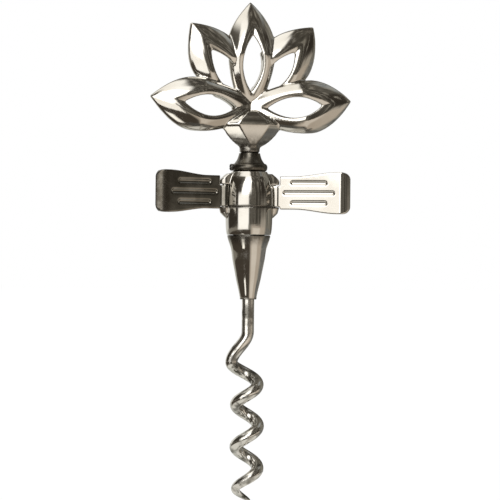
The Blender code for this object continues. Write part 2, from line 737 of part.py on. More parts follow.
UPRIGHT_PETAL = Petal("upright", 0, UPRIGHT_PETAL_LENGTH, UPRIGHT_PETAL_HALF_WIDTH)
UPPER_PETALS = [
    Petal(
        f"{label}_upper", side, UPPER_PETAL_LENGTH, UPPER_PETAL_HALF_WIDTH,
        UPPER_PETAL_LEAN_DEG, UPPER_PETAL_SET_BACK, UPPER_PETAL_TIP_REACH,
    )
    for label, side in SIDES
]
LOWER_PETALS = [
    Petal(
        f"{label}_lower", side, LOWER_PETAL_LENGTH, LOWER_PETAL_HALF_WIDTH,
        LOWER_PETAL_LEAN_DEG, -LOWER_PETAL_SET_FORWARD, LOWER_PETAL_TIP_REACH, LOWER_PETAL_SAG,
    )
    for label, side in SIDES
]


def petal_width_share(along):
    """The petal's half width as a share of its greatest, from its root to its pointed tip."""
    if along < PETAL_WIDEST_SHARE:
        inward = 1 - along / PETAL_WIDEST_SHARE
        return 1 - (1 - PETAL_ROOT_WIDTH_SHARE) * inward ** PETAL_ROOT_CURVE
    outward = (along - PETAL_WIDEST_SHARE) / (1 - PETAL_WIDEST_SHARE)
    return 1 - outward ** PETAL_TIP_CURVE


def opening_x(share):
    """Half of an opening's width at a share of the way from its root to its tip."""
    return OPENING_HALF_WIDTH * arch(share)


def arch(share):
    """0 at both ends of a share from 0 to 1, and 1 in its middle."""
    return 4 * share * (1 - share)


def roof(share):
    """As an arch, but with straighter slopes and a rounded ridge in its middle."""
    return 1 - abs(2 * share - 1) ** PETAL_ROOF_POWER


def side_shares():
    """Shares of the way up a petal's side, closer together towards both of its ends."""
    for index in range(PETAL_SIDE_STEPS + 1):
        yield (1 - math.cos(math.pi * index / PETAL_SIDE_STEPS)) / 2


def petal_ring(petal, rim_share, depth):
    """Points round a petal, between its outline (0) and its opening (1), up one side and down
    the other, at a depth behind the petal's bowed front."""
    half = []
    for share in side_shares():
        outer = blend(PETAL_ROOT_SHARE, 1, share)
        inner = blend(OPENING_START_SHARE, OPENING_END_SHARE, share)
        x = blend(petal.half_width * petal_width_share(outer), opening_x(share), rim_share)
        along = blend(outer, inner, rim_share)
        droop = PETAL_DROOP * (x / petal.half_width) ** 2
        reach = petal.tip_reach * along ** 2
        spine = petal.side * petal.sag * arch(along)
        y = droop - PETAL_BOW * roof(along) - reach + depth
        half.append((x, spine, y, along * petal.length))
    right = [(spine + x, y, z) for x, spine, y, z in half]
    left = [(spine - x, y, z) for x, spine, y, z in half[-2::-1]]
    return right + left


def petal_leaf(petal, cutters):
    """A bowed leaf with a pointed opening, whose rim slopes into it from a crest."""
    rings = []
    for rim_share, lip_share in PETAL_RIM_SHARES:
        rings.append(petal_ring(petal, rim_share, PETAL_LIP * lip_share))
    for rim_share, _ in reversed(PETAL_RIM_SHARES):
        rings.append(petal_ring(petal, rim_share, PETAL_THICKNESS))
    obj = object_from(skin(rings, closed=True), f"{petal.name}_petal", cutters)
    lean(obj, petal)
    return obj


def opening_trim(petal, cutters):
    """A block just inside a petal's opening, which clears the petals behind it away."""
    deep = PETAL_BOW + PETAL_THICKNESS + PETAL_DROOP
    narrowing = 1 - OPENING_TRIM / OPENING_HALF_WIDTH
    half = []
    for share in side_shares():
        along = blend(OPENING_START_SHARE, OPENING_END_SHARE, share)
        spine = petal.side * petal.sag * arch(along)
        half.append((opening_x(share) * narrowing, spine, along * petal.length))
    outline = [(spine + x, z) for x, spine, z in half]
    outline += [(spine - x, z) for x, spine, z in half[-2:0:-1]]
    rings = [[(x, y, z) for x, z in outline] for y in (-deep, deep)]
    obj = object_from(skin(rings, closed=False), f"{petal.name}_opening", cutters)
    lean(obj, petal)
    return obj


def lean(obj, petal):
    obj.location = (0, petal.set_back, HUB_Z)
    obj.rotation_euler = (0, petal.side * math.radians(petal.lean_deg), 0)


def petals(cutters):
    """The upper petals at the back, the upright petal before them, and the lower ones in front.
    Each of the last three comes with the block that keeps its opening clear."""
    front = [UPRIGHT_PETAL] + LOWER_PETALS
    for petal in UPPER_PETALS + front:
        yield "UNION", petal_leaf(petal, cutters)
    for petal in front:
        yield "DIFFERENCE", opening_trim(petal, cutters)


def build_flower(collection, cutters):
    """One casting: five open petals on a faceted calyx, with a neck and a tang below."""
    flower = object_from(calyx(), "flower_handle", collection, nickel("flower_nickel"))
    tang_top = NECK_FOOT_Z + NECK_HEIGHT
    boolean(flower, "UNION", rod("tang", TANG_RADIUS, FERRULE_FOOT_Z, tang_top, cutters))
    for operation, piece in petals(cutters):
        boolean(flower, operation, piece, solver="MANIFOLD")
    bore_foot = FERRULE_FOOT_Z - CUT_OVERRUN
    bore = rod("flower_bore", SHANK_BORE, bore_foot, SHANK_TOP_Z + SEAT_GAP, cutters)
    boolean(flower, "DIFFERENCE", bore)
    outside = TANG_RADIUS + CUT_OVERRUN
    boolean(flower, "DIFFERENCE", cross_bar("tang_screw_hole", SCREW_BORE, 0, outside, cutters))


def main():
    clear_scene()
    parts = new_collection("corkscrew")
    cutters = new_collection("cutters")
    build_worm(parts)
    build_nose_cone(parts)
    build_washer(parts)
    build_nut(parts, cutters)
    build_barrel_lower(parts, cutters)
    build_barrel_upper(parts, cutters)
    build_hinge_pins(parts)
    build_wing("right", 1, RIGHT_WING_FORWARD_DEG, parts, cutters)
    build_wing("left", -1, LEFT_WING_FORWARD_DEG, parts, cutters)
    build_ferrule(parts, cutters)
    build_handle_screw(parts, cutters)
    build_flower(parts, cutters)


main()
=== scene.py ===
"""Looks of the direct-pull corkscrew with a cast lotus-flower grip and two finger wings.

Pieces are shaped in millimetres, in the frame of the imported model: +Z up, the worm's tip at the
height of the origin, the flower's width along X and its rounded face towards -Y. Each mesh is
brought to metres when the piece is finished. The studio's sizes are in metres. The camera stands
a little to the left of the front.
"""

import math
from typing import NamedTuple

import bmesh
import bpy
from mathutils import Matrix, Quaternion, Vector


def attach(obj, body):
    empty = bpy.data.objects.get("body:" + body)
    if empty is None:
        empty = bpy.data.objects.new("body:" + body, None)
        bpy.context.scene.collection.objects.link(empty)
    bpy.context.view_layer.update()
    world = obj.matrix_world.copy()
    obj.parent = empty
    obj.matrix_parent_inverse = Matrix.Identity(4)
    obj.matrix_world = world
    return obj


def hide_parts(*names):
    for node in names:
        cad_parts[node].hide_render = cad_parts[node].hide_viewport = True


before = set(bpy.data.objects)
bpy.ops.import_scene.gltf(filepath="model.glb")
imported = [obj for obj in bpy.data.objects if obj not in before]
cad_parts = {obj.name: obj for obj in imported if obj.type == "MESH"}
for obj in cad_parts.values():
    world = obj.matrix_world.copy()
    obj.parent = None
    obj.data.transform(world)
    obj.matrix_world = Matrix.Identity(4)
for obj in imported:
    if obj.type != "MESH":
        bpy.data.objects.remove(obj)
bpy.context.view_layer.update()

# The photograph's frame
IMAGE_SIZE = 500
PIXELS_PER_METRE = 3600
AXIS_PIXEL = 248.6
TIP_PIXEL = 502
CAMERA_AZIMUTH_DEG = -15
CAMERA_ROLL_DEG = 0.58
LENS = 150
SENSOR_WIDTH = 36

# Heights of the stack and the sizes that pieces share, in millimetres. They are the solids' own,
# but for the seams, which the photograph hardly shows, and a hair less on the barrel's radius.
METRES = 0.001
MERGE_DISTANCE = 0.0001
WIRE_RADIUS = 1.7
WIRE_BORE = 1.85
NOSE_TIP_Z = 56.3
NOSE_TOP_Z = 74.1
SPIGOT_FOOT_Z = 72.4
BARREL_FOOT_Z = 74.2
SEAM_LOW_Z = 81.95
SEAM_HIGH_Z = 82.05
KNUCKLE_TOP_Z = 87.9
UPPER_LUG_FOOT_Z = 88.2
BARREL_TOP_Z = 91.75
FERRULE_FOOT_Z = 91.85
FERRULE_TOP_Z = 96.85
NECK_FOOT_Z = 97.15
CALYX_FOOT_Z = 98.25
CALYX_TOP_Z = 104.85
HUB_Z = 109.4
SHANK_TOP_Z = 102.35
BARREL_RADIUS = 6.48
HINGE_X = 6.9
KNUCKLE_RADIUS = 1.7
TURN_SEGMENTS = 144
BAR_SEGMENTS = 48
EASED_ANGLE = math.radians(35)
SHARP_ANGLE = math.radians(40)

# Studio, in metres and degrees
FLOOR_HALF_SIZE = 3.0
FLOOR_DROP = 0.0002
STUDIO_CENTRE = (0, 0, 0.075)
WHITE = (1.0, 1.0, 1.0, 1.0)
TENT_RADIUS = 0.8
TENT_ELEVATIONS = (-5, 90)
FLOOR_CARD_RADIUS = 0.9
FLOOR_CARD_SEGMENTS = 96
# Tones seen in the metal: azimuths from the camera's side (positive is right), elevations, how
# soft the borders are, all in degrees, and the colour
TENT_BASE = (0.13, 0.12, 0.1, 1)
TENT_PATCHES = (
    ((14, 92), (-12, 1.5), 3, (0.5, 0.45, 0.38, 1)),
    ((12, 62), (-12, 70), 6, (0.085, 0.077, 0.063, 1)),
    ((56, 96), (3, 36), 5, (0.045, 0.038, 0.03, 1)),
    ((96, 140), (-12, 40), 8, (0.2, 0.19, 0.16, 1)),
    ((84, 128), (42, 64), 6, (0.42, 0.44, 0.44, 1)),
    ((15, 50), (62, 90), 7, (0.06, 0.053, 0.047, 1)),
    ((-120, -42), (-12, 34), 6, (0.05, 0.043, 0.033, 1)),
)
TENT_LIGHTS = (
    ((-175, -122), (-12, 40), 8, (0.8, 0.79, 0.74, 1)),
    ((-110, 6), (46, 82), 7, (1.45, 1.42, 1.34, 1)),
    ((-24, 12), (8, 54), 4, (1.55, 1.52, 1.45, 1)),
    ((-54, -1), (-12, 6), 4, (1.6, 1.57, 1.5, 1)),
)
# The same on the floor, with distances in millimetres in place of elevations
FLOOR_BASE = (0.3, 0.28, 0.24, 1)
FLOOR_PATCHES = (
    ((94, 145), (0, 1000), 5, (0.2, 0.2, 0.19, 1)),
    ((-125, 9), (60, 350), 5, (0.075, 0.062, 0.048, 1)),
    ((-20, 100), (50, 84), 4, (0.1, 0.095, 0.085, 1)),
    ((-400, 400), (-10, 46), 4, (0.8, 0.78, 0.72, 1)),
)
FLOOR_LIGHTS = (
    ((12, 90), (78, 1000), 5, (0.6, 0.52, 0.43, 1)),
    ((20, 58), (90, 560), 6, (0.86, 0.78, 0.68, 1)),
    ((-175, -128), (-10, 1000), 6, (0.6, 0.6, 0.55, 1)),
    ((-56, -10), (380, 1000), 5, (1.5, 1.47, 1.4, 1)),
    ((-42, -27), (76, 150), 3, (1.6, 1.56, 1.45, 1)),
)
# Streaks in the tones of the tent and the floor card, on the right
STREAKED_AZIMUTHS = (16, 150)
STREAKS_SOFT = 8
LIGHT_STREAK = (0.43, 0.4, 0.34, 1)
DARK_STREAK = (0.03, 0.026, 0.02, 1)
# Low reflector and softbox
REFLECTOR_TONE = (1.5, 1.46, 1.38, 1)
REFLECTOR_AZIMUTHS = (-48, -3)
REFLECTOR_HEIGHTS = (0.045, 0.1)
REFLECTOR_REACH = 0.16
SOFTBOX_AZIMUTH = -15
SOFTBOX_ELEVATION = 15
SOFTBOX_ROLL = 40
SOFTBOX_DISTANCE = 0.7
SOFTBOX_WIDTH = 0.4
SOFTBOX_HEIGHT = 1.0
SOFTBOX_RADIANCE = 1.9
# White floor and white surroundings
FLOOR_GLOW = 1.07
FLOOR_GLOW_SHARE = 0.8
WORLD_LIGHT = 0.75


def blend(low, high, share):
    return low + (high - low) * share


def smooth_step(share):
    held = min(max(share, 0), 1)
    return held * held * (3 - 2 * held)


def along_table(table, place):
    """The value at a place of a table of (place, value) rows, with straight lines between them."""
    for (low, first), (high, second) in zip(table, table[1:]):
        if place <= high:
            return blend(first, second, max(place - low, 0) / (high - low))
    return table[-1][1]


def smooth_line(points, steps=6):
    """Points on a smooth line through the given ones."""
    ends = [points[0], *points, points[-1]]
    line = []
    for before, start, end, after in zip(ends, ends[1:], ends[2:], ends[3:]):
        before, start, end, after = (Vector(point) for point in (before, start, end, after))
        for index in range(steps):
            t = index / steps
            bend = 3 * (start - end) + after - before
            middle = 2 * before - 5 * start + 4 * end - after
            place = start + ((end - before) * t + middle * t ** 2 + bend * t ** 3) / 2
            line.append(tuple(place))
    return line + [points[-1]]


# Materials

# Colours, and the distances from the axis between which rubbed steel turns bright
NICKEL = (0.66, 0.64, 0.6, 1)
CLOUDED_NICKEL = (0.58, 0.55, 0.5, 1)
# Colour of a dark film of painted shade
SHADE_FILM = (0.15, 0.14, 0.115, 1)
# Colour of the painted shade in hollows, at joins and along spans, and of the dirt in hollows
SHADE_AND_DIRT = (0.07, 0.06, 0.045, 1)
PITTED = (0.2, 0.18, 0.15, 1)
DRAWN_STEEL = (0.74, 0.72, 0.68, 1)
TARNISHED_STEEL = (0.1, 0.095, 0.075, 1)
SPECKS = (0.07, 0.068, 0.05, 1)
RUBBED_STEEL = (0.78, 0.76, 0.72, 1)
RUBBED_RADII = (4.1, 4.7)
BLACKENED_STEEL = (0.045, 0.042, 0.038, 1)
WORN_EDGE = (0.3, 0.29, 0.27, 1)


class Value:
    """An output socket of a material. Arithmetic on it adds Math nodes."""

    def __init__(self, shader, socket):
        self.shader = shader
        self.socket = socket

    def math(self, operation, *others):
        inputs = dict(enumerate((self, *others)))
        return self.shader.node("ShaderNodeMath", {"operation": operation}, inputs)

    def __add__(self, other):
        return self.math("ADD", other)

    def __radd__(self, other):
        return self.math("ADD", other)

    def __sub__(self, other):
        return self.math("SUBTRACT", other)

    def __rsub__(self, other):
        return self.shader.node("ShaderNodeMath", {"operation": "SUBTRACT"}, {0: other, 1: self})

    def __mul__(self, other):
        return self.math("MULTIPLY", other)

    def __rmul__(self, other):
        return self.math("MULTIPLY", other)

    def __truediv__(self, other):
        return self.math("DIVIDE", other)

    def __pow__(self, other):
        return self.math("POWER", other)

    def __abs__(self):
        return self.math("ABSOLUTE")

    def above(self, low, high):
        """0 below low, 1 above high and a smooth rise between them."""
        settings = {"interpolation_type": "SMOOTHSTEP"}
        inputs = {"Value": self, "From Min": low, "From Max": high}
        return self.shader.node("ShaderNodeMapRange", settings, inputs)


class Shader:
    """The node tree of a material or of the world."""

    def __init__(self, owner):
        owner.use_nodes = True
        self.owner = owner
        self.tree = owner.node_tree
        self.tree.nodes.clear()

    def node(self, kind, settings=None, inputs=None, output=0):
        """Makes any node: its type, then its settings, then the values or links of its sockets."""
        made = self.tree.nodes.new(kind)
        for key, value in (settings or {}).items():
            setattr(made, key, value)
        for key, value in (inputs or {}).items():
            if isinstance(value, Value):
                self.tree.links.new(value.socket, made.inputs[key])
            else:
                made.inputs[key].default_value = value
        return Value(self, made.outputs[output] if made.outputs else None)

    def mix_colour(self, factor, first, second):
        settings = {"data_type": "RGBA"}
        return self.node("ShaderNodeMix", settings, {0: factor, 6: first, 7: second}, output=2)

    def place(self, scale=(1, 1, 1), turn_deg=(0, 0, 0), centre=(0, 0, 0)):
        """Object coordinates in millimetres, centred, turned and stretched for a pattern."""
        coordinates = self.node("ShaderNodeTexCoord", output="Object")
        turn = tuple(math.radians(angle) for angle in turn_deg)
        inputs = {
            "Vector": coordinates, "Location": tuple(METRES * value for value in centre),
            "Rotation": turn, "Scale": tuple(METRES * value for value in scale),
        }
        return self.node("ShaderNodeMapping", {"vector_type": "TEXTURE"}, inputs)

    def split(self, vector):
        parts = self.node("ShaderNodeSeparateXYZ", None, {"Vector": vector})
        outputs = parts.socket.node.outputs
        return tuple(Value(self, outputs[index]) for index in range(3))

    def noise(self, vector, scale, detail, roughness=0.5):
        inputs = {"Vector": vector, "Scale": scale, "Detail": detail, "Roughness": roughness}
        return self.node("ShaderNodeTexNoise", None, inputs)

    def window(self, value, bounds, soft):
        """1 between two bounds and 0 beyond them, with soft borders."""
        low, high = bounds
        return value.above(low - soft, low + soft) - value.above(high - soft, high + soft)

    def bump(self, height):
        """The normal over a relief whose heights are in millimetres."""
        inputs = {"Height": height, "Distance": METRES, "Strength": 1.0}
        return self.node("ShaderNodeBump", None, inputs)

    def curvature(self):
        """0.5 on a flat, more on an edge and less in a hollow."""
        return self.node("ShaderNodeNewGeometry", output="Pointiness")

    def metal(self, tone, roughness, relief):
        inputs = {
            "Base Color": tone, "Metallic": 1.0, "Roughness": roughness,
            "Normal": self.bump(relief),
        }
        return self.surface(self.node("ShaderNodeBsdfPrincipled", None, inputs))

    def glow(self, tone, strength=1.0):
        return self.node("ShaderNodeEmission", None, {"Color": tone, "Strength": strength})

    def surface(self, finished):
        """Joins the finished surface to the material and returns the material."""
        self.node("ShaderNodeOutputMaterial", None, {"Surface": finished})
        return self.owner


def nickel(name, waviness=0.0, lines=0.0, shaded_hollows=True, shaded_joins_z=(), tarnish_and_shade=0.0, shaded_span=None,
           dullness=0.07):
    """Polished nickel plate with smudges, hairline scratches and pits, with soiling and painted
    shade in its hollows, and with painted shade in bands at the joins whose heights are given.
    Waviness and lines are the heights of a soft relief and of turning marks, a share lays a dark
    film of painted shade over the plate, and dullness is the roughness of the clean plate.
    A shaded span names an axis, the place on it where painted shade covers the plate and the
    place where it ends."""
    shader = Shader(bpy.data.materials.new(name))
    place = shader.place()
    cloud = shader.noise(place, 0.11, 3)
    tone = shader.mix_colour(cloud.above(0.35, 0.7), NICKEL, CLOUDED_NICKEL)
    # Painted shade: a dark film laid over the plate by the given share
    if tarnish_and_shade:
        shade_share = tarnish_and_shade * (0.75 + 0.25 * shader.noise(place, 0.25, 3).above(0.35, 0.6))
        tone = shader.mix_colour(shade_share, tone, SHADE_FILM)
    smudge = shader.noise(place, 0.32, 4, 0.62)
    scratch = shader.noise(shader.place((9, 0.35, 0.6), (20, 35, 30)), 0.9, 3, 0.7)
    scratch = scratch.above(0.6, 0.72)
    pits = shader.noise(place, 3.1, 2).above(0.72, 0.8)
    rough = dullness + 0.07 * smudge.above(0.42, 0.75) + 0.06 * scratch + 0.2 * pits
    shade_and_dirt = 0
    # Dirt and painted shade: hollows are darkened where the curvature is concave, in patches
    if shaded_hollows:
        hollow_patches = shader.noise(place, 0.9, 4, 0.7).above(0.25, 0.6)
        shade_and_dirt = (1 - shader.curvature().above(0.40, 0.485)) * (0.45 + 0.55 * hollow_patches)
    # Painted shade: bands darkened at the given heights of joins, with ragged borders
    for height in shaded_joins_z:
        up = shader.split(place)[2]
        ragged = 0.35 + 0.7 * shader.noise(place, 0.7, 3)
        near = 1 - abs(up - height).above(0.12, ragged)
        shade_and_dirt = near.math("MAXIMUM", shade_and_dirt)
    # Painted shade: darkened in patches from one place along an axis to another
    if shaded_span:
        axis, full, clean = shaded_span
        reach = (shader.split(place)[axis] - clean) / (full - clean)
        patchy = 0.62 + 0.4 * shader.noise(place, 0.8, 4, 0.65).above(0.34, 0.58)
        cover = reach.above(0.0, 1.0) * patchy
        shade_and_dirt = cover.math("MAXIMUM", shade_and_dirt)
    # Painted shade and dirt darken the colour and dull the plate here
    tone = shader.mix_colour(0.8 * shade_and_dirt, tone, SHADE_AND_DIRT)
    tone = shader.mix_colour(0.5 * pits, tone, PITTED)
    rough = rough + 0.2 * shade_and_dirt
    relief = waviness * shader.noise(place, 0.16, 2, 0.45)
    relief = relief + 0.0012 * shader.noise(place, 0.8, 3)
    if lines:
        rings = shader.noise(shader.place((40, 40, 0.5)), 1.6, 3, 0.6)
        relief = relief + lines * rings
        rough = rough + 0.05 * rings.above(0.5, 0.7)
    return shader.metal(tone, rough, relief - 0.0006 * scratch)


def drawn_steel(name, rubbed=False):
    """Bright drawn steel with olive-grey tarnish and dark specks. Rubbed steel is brighter on the
    outside of the coil."""
    shader = Shader(bpy.data.materials.new(name))
    place = shader.place()
    tarnish_and_shade = shader.noise(place, 0.3, 3).above(0.46, 0.64)
    specks = shader.noise(place, 0.6, 2).above(0.6, 0.72)
    tone = shader.mix_colour(0.75 * tarnish_and_shade, DRAWN_STEEL, TARNISHED_STEEL)
    tone = shader.mix_colour(0.85 * specks, tone, SPECKS)
    rough = 0.16 + 0.14 * tarnish_and_shade + 0.15 * specks
    relief = 0.004 * shader.noise(place, 0.35, 2)
    if rubbed:
        x, y, _ = shader.split(place)
        out = ((x * x + y * y) ** 0.5).above(*RUBBED_RADII)
        tone = shader.mix_colour(0.5 * out, tone, RUBBED_STEEL)
        rough = rough - 0.07 * out
    return shader.metal(tone, rough, relief)


def blackened_steel(name):
    """Oil-blackened steel, rubbed bright on its edges."""
    shader = Shader(bpy.data.materials.new(name))
    place = shader.place()
    wear_and_shade = shader.curvature().above(0.52, 0.58) * shader.noise(place, 2.0, 3).above(0.4, 0.6)
    tone = shader.mix_colour(wear_and_shade, BLACKENED_STEEL, WORN_EDGE)
    rough = 0.34 + 0.1 * shader.noise(place, 1.5, 3)
    return shader.metal(tone, rough, 0.002 * shader.noise(place, 3.0, 2))


# Making pieces


def new_object(name, mesh):
    obj = bpy.data.objects.new(name, mesh)
    bpy.context.scene.collection.objects.link(obj)
    return obj


def object_from(bm, name):
    mesh = bpy.data.meshes.new(name)
    bm.to_mesh(mesh)
    bm.free()
    return new_object(name, mesh)


def boolean(obj, operation, bm, solver="EXACT"):
    """Adds or cuts with the bmesh's shape. Its tool object goes when the piece is finished."""
    modifier = obj.modifiers.new(operation, "BOOLEAN")
    modifier.operation = operation
    modifier.object = object_from(bm, f"{obj.name}_tool")
    modifier.solver = solver


def melt(obj, voxel, rounds):
    """Runs the parts together and rounds the edges, as casting and polishing do."""
    remesh = obj.modifiers.new("melt", "REMESH")
    remesh.mode = "VOXEL"
    remesh.voxel_size = voxel
    remesh.use_smooth_shade = True
    smooth = obj.modifiers.new("polish", "SMOOTH")
    smooth.factor = 0.5
    smooth.iterations = rounds


def finish(obj, material, node, body="body", seat=None, sharp=False):
    """Settles the modifiers, brings the mesh to its place in metres and hands the piece over."""
    tools = [modifier.object for modifier in obj.modifiers if modifier.type == "BOOLEAN"]
    graph = bpy.context.evaluated_depsgraph_get()
    mesh = bpy.data.meshes.new_from_object(obj.evaluated_get(graph))
    name = obj.name
    for old in [obj, *tools]:
        bpy.data.objects.remove(old)
    mesh.transform(Matrix.Diagonal((METRES, METRES, METRES, 1)) @ (seat or Matrix()))
    mesh.name = name
    mesh.shade_smooth()
    if sharp:
        mesh.set_sharp_from_angle(angle=SHARP_ANGLE)
    mesh.materials.clear()
    mesh.materials.append(material)
    piece = new_object(name, mesh)
    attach(piece, body)
    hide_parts(node)


def spun(outline, segments=TURN_SEGMENTS, edge=0.0):
    """A body turned about Z from a closed (radius, height) outline. Edge is the width of the bevel
    on its sharp edges."""
    bm = bmesh.new()
    verts = [bm.verts.new((radius, 0, height)) for radius, height in outline]
    edges = [bm.edges.new(pair) for pair in zip(verts, verts[1:] + verts[:1])]
    bmesh.ops.spin(
        bm, geom=verts + edges, cent=(0, 0, 0), axis=(0, 0, 1), angle=math.tau,
        steps=segments, use_merge=True,
    )
    bmesh.ops.remove_doubles(bm, verts=bm.verts, dist=MERGE_DISTANCE)
    bmesh.ops.recalc_face_normals(bm, faces=bm.faces)
    if edge:
        sharp = [line for line in bm.edges if line.calc_face_angle(0) > EASED_ANGLE]
        bmesh.ops.bevel(
            bm, geom=sharp, offset=edge, offset_type="OFFSET", affect="EDGES", segments=3,
            profile=0.5, material=-1, clamp_overlap=True,
        )
    return bm


def bar(radius, foot, top, x=0.0):
    """An upright round bar from foot to top."""
    bm = bmesh.new()
    bmesh.ops.create_cone(
        bm, cap_ends=True, segments=BAR_SEGMENTS, radius1=radius, radius2=radius,
        depth=top - foot,
    )
    bmesh.ops.translate(bm, vec=(x, 0, (top + foot) / 2), verts=bm.verts)
    return bm


def sleeve(columns, rows, place):
    """A grid laid out by a function of its column and row, whose last column meets the first."""
    bm = bmesh.new()
    bmesh.ops.create_grid(bm, x_segments=columns, y_segments=rows, size=0.5)
    for vert in bm.verts:
        column = round((vert.co.x + 0.5) * columns) % columns
        vert.co = place(column, round((vert.co.y + 0.5) * rows))
    bmesh.ops.remove_doubles(bm, verts=bm.verts, dist=MERGE_DISTANCE)
    bmesh.ops.holes_fill(bm, edges=[edge for edge in bm.edges if edge.is_boundary], sides=0)
    bmesh.ops.recalc_face_normals(bm, faces=bm.faces)
    return bm


def deepened(outline, depth):
    """A block from a flat outline of points, pushed back along Y by a depth."""
    bm = bmesh.new()
    face = bm.faces.new([bm.verts.new(spot) for spot in outline])
    grown = bmesh.ops.extrude_face_region(bm, geom=[face])["geom"]
    bmesh.ops.translate(bm, vec=(0, depth, 0), verts=only(grown, bmesh.types.BMVert))
    bmesh.ops.recalc_face_normals(bm, faces=bm.faces)
    return bm


def only(geometry, kind):
    return [item for item in geometry if isinstance(item, kind)]


def to_side(bm, side):
    """Mirrors what was made on the right to the left where side is -1."""
    bmesh.ops.scale(bm, vec=(side, 1, 1), verts=bm.verts)
    bmesh.ops.recalc_face_normals(bm, faces=bm.faces)
    return bm


# Flower: petals, calyx and neck in one casting

PETAL_THICKNESS = 1.9
PETAL_BOW = 5.0
PETAL_DROOP = 2.8
PETAL_LIP = 0.75
PETAL_SIDE_STEPS = 64
OPENING_HALF_WIDTH = 2.8
OPENING_SHARES = (0.155, 0.68)
OPENING_EASE = 0.06
PETAL_DEEP = PETAL_BOW + PETAL_THICKNESS + PETAL_DROOP
ROOT_SHARE = -0.04
ROOT_WIDTH_SHARE = 0.36
WIDEST_SHARE = 0.58
PETAL_TIP_POWER = 1.85
PETAL_ROOF_POWER = 1.4
# Across a petal's rim: the way in to the opening, then the drop in lips or the depth in thicknesses
FRONT_RIM = (
    (0.0, 0.5), (0.06, 0.3), (0.14, 0.15), (0.25, 0.05), (0.38, 0.0), (0.5, 0.0), (0.6, 0.03),
    (0.68, 0.1), (0.76, 0.25), (0.84, 0.48), (0.92, 0.74), (1.0, 1.05),
)
BACK_RIM = ((1.0, 0.86), (0.8, 1.0), (0.6, 1.0), (0.4, 1.0), (0.2, 1.0), (0.0, 0.84))

CALYX_HALF_WIDTH = 9.0
CALYX_FRONT = 4.6
CALYX_BACK = 3.1
CALYX_EDGE_FORWARD = 2.0
NECK_RADIUS = 2.8
TANG_RADIUS = 2.3
# Each row: height, width, front depth, back depth, way to flat facets, and middle facet's width
CALYX_ROWS = (
    (NECK_FOOT_Z, 0.34, 0.62, 0.92, 0.0, 0.1), (CALYX_FOOT_Z, 0.34, 0.62, 0.92, 0.0, 0.1),
    (98.71, 0.42, 0.66, 0.95, 0.45, 0.14), (99.37, 0.52, 0.73, 1.0, 0.9, 0.2),
    (100.63, 0.67, 0.83, 1.0, 1.0, 0.29), (102.21, 0.82, 0.91, 1.0, 1.0, 0.38),
    (103.86, 0.95, 0.97, 1.0, 1.0, 0.45), (CALYX_TOP_Z, 1.0, 1.0, 1.0, 1.0, 0.48),
    (105.93, 0.84, 0.98, 1.0, 1.0, 0.48), (107.19, 0.56, 0.88, 0.9, 1.0, 0.46),
    (108.45, 0.28, 0.7, 0.5, 1.0, 0.44),
)
CALYX_COLUMNS = 96
SHANK_ROOM = 0.3


class Petal(NamedTuple):
    """Side is -1 left, 0 upright and 1 right. The tip reaches forward, and the petal's middle line
    sags towards its side."""

    side: int
    length: float
    half_width: float
    lean_deg: float
    set_back: float
    tip_reach: float
    sag: float


UPPER_PETALS = tuple(
    Petal(side, length=28.9, half_width=7.4, lean_deg=37.4, set_back=1.4, tip_reach=3.8, sag=0)
    for side in (-1, 1)
)
UPRIGHT_PETAL = Petal(0, length=29.5, half_width=6.8, lean_deg=0, set_back=0, tip_reach=0, sag=0)
LOWER_PETALS = tuple(
    Petal(side, length=28.9, half_width=7.4, lean_deg=85, set_back=-0.8, tip_reach=1.7, sag=0.8)
    for side in (-1, 1)
)
FRONT_PETALS = (UPRIGHT_PETAL, *LOWER_PETALS)


def petal_width_share(along):
    if along < WIDEST_SHARE:
        return 1 - (1 - ROOT_WIDTH_SHARE) * (1 - along / WIDEST_SHARE) ** 2
    return 1 - ((along - WIDEST_SHARE) / (1 - WIDEST_SHARE)) ** PETAL_TIP_POWER


def arch(share):
    return 4 * share * (1 - share)


def roof(share):
    """As an arch, but with straighter slopes and a rounded ridge in its middle."""
    return 1 - abs(2 * share - 1) ** PETAL_ROOF_POWER


def petal_leaf(petal):
    """A bowed leaf that runs right round its pointed opening, with a crest along its rim."""
    last = 2 * PETAL_SIDE_STEPS + 1
    rim = [(share, PETAL_LIP * drop) for share, drop in FRONT_RIM]
    rim += [(share, PETAL_THICKNESS * depth) for share, depth in BACK_RIM]

    def place(column, row):
        hand = 1 if column <= PETAL_SIDE_STEPS else -1
        step = column if hand > 0 else last - column
        share = (1 - math.cos(math.pi * step / PETAL_SIDE_STEPS)) / 2
        inward, depth = rim[row % len(rim)]
        outer = blend(ROOT_SHARE, 1, share)
        inner = blend(*OPENING_SHARES, share)
        outer_x = petal.half_width * petal_width_share(outer)
        x = blend(outer_x, OPENING_HALF_WIDTH * arch(share), inward)
        along = blend(outer, inner, inward)
        y = PETAL_DROOP * (x / petal.half_width) ** 2 - PETAL_BOW * roof(along) + depth
        y -= petal.tip_reach * along ** 2
        return petal.side * petal.sag * arch(along) + hand * x, y, along * petal.length

    return lean(sleeve(last + 1, len(rim), place), petal)


def opening_block(petal):
    """A deep block in a petal's opening, which clears what stands behind it."""
    outline = []
    for step in range(2 * PETAL_SIDE_STEPS):
        turn = math.pi * step / PETAL_SIDE_STEPS
        share = (1 - math.cos(turn)) / 2
        along = blend(*OPENING_SHARES, share)
        half = (OPENING_HALF_WIDTH + OPENING_EASE) * arch(share) * (1 if turn < math.pi else -1)
        x = petal.side * petal.sag * arch(along) + half
        outline.append((x, -PETAL_DEEP, along * petal.length))
    return lean(deepened(outline, 2 * PETAL_DEEP), petal)


def lean(bm, petal):
    """Brings what was made upright at the origin to the petal's place on the hub."""
    turn = Matrix.Rotation(petal.side * math.radians(petal.lean_deg), 3, "Y")
    bmesh.ops.rotate(bm, matrix=turn, verts=bm.verts)
    bmesh.ops.translate(bm, vec=(0, petal.set_back, HUB_Z), verts=bm.verts)
    return bm


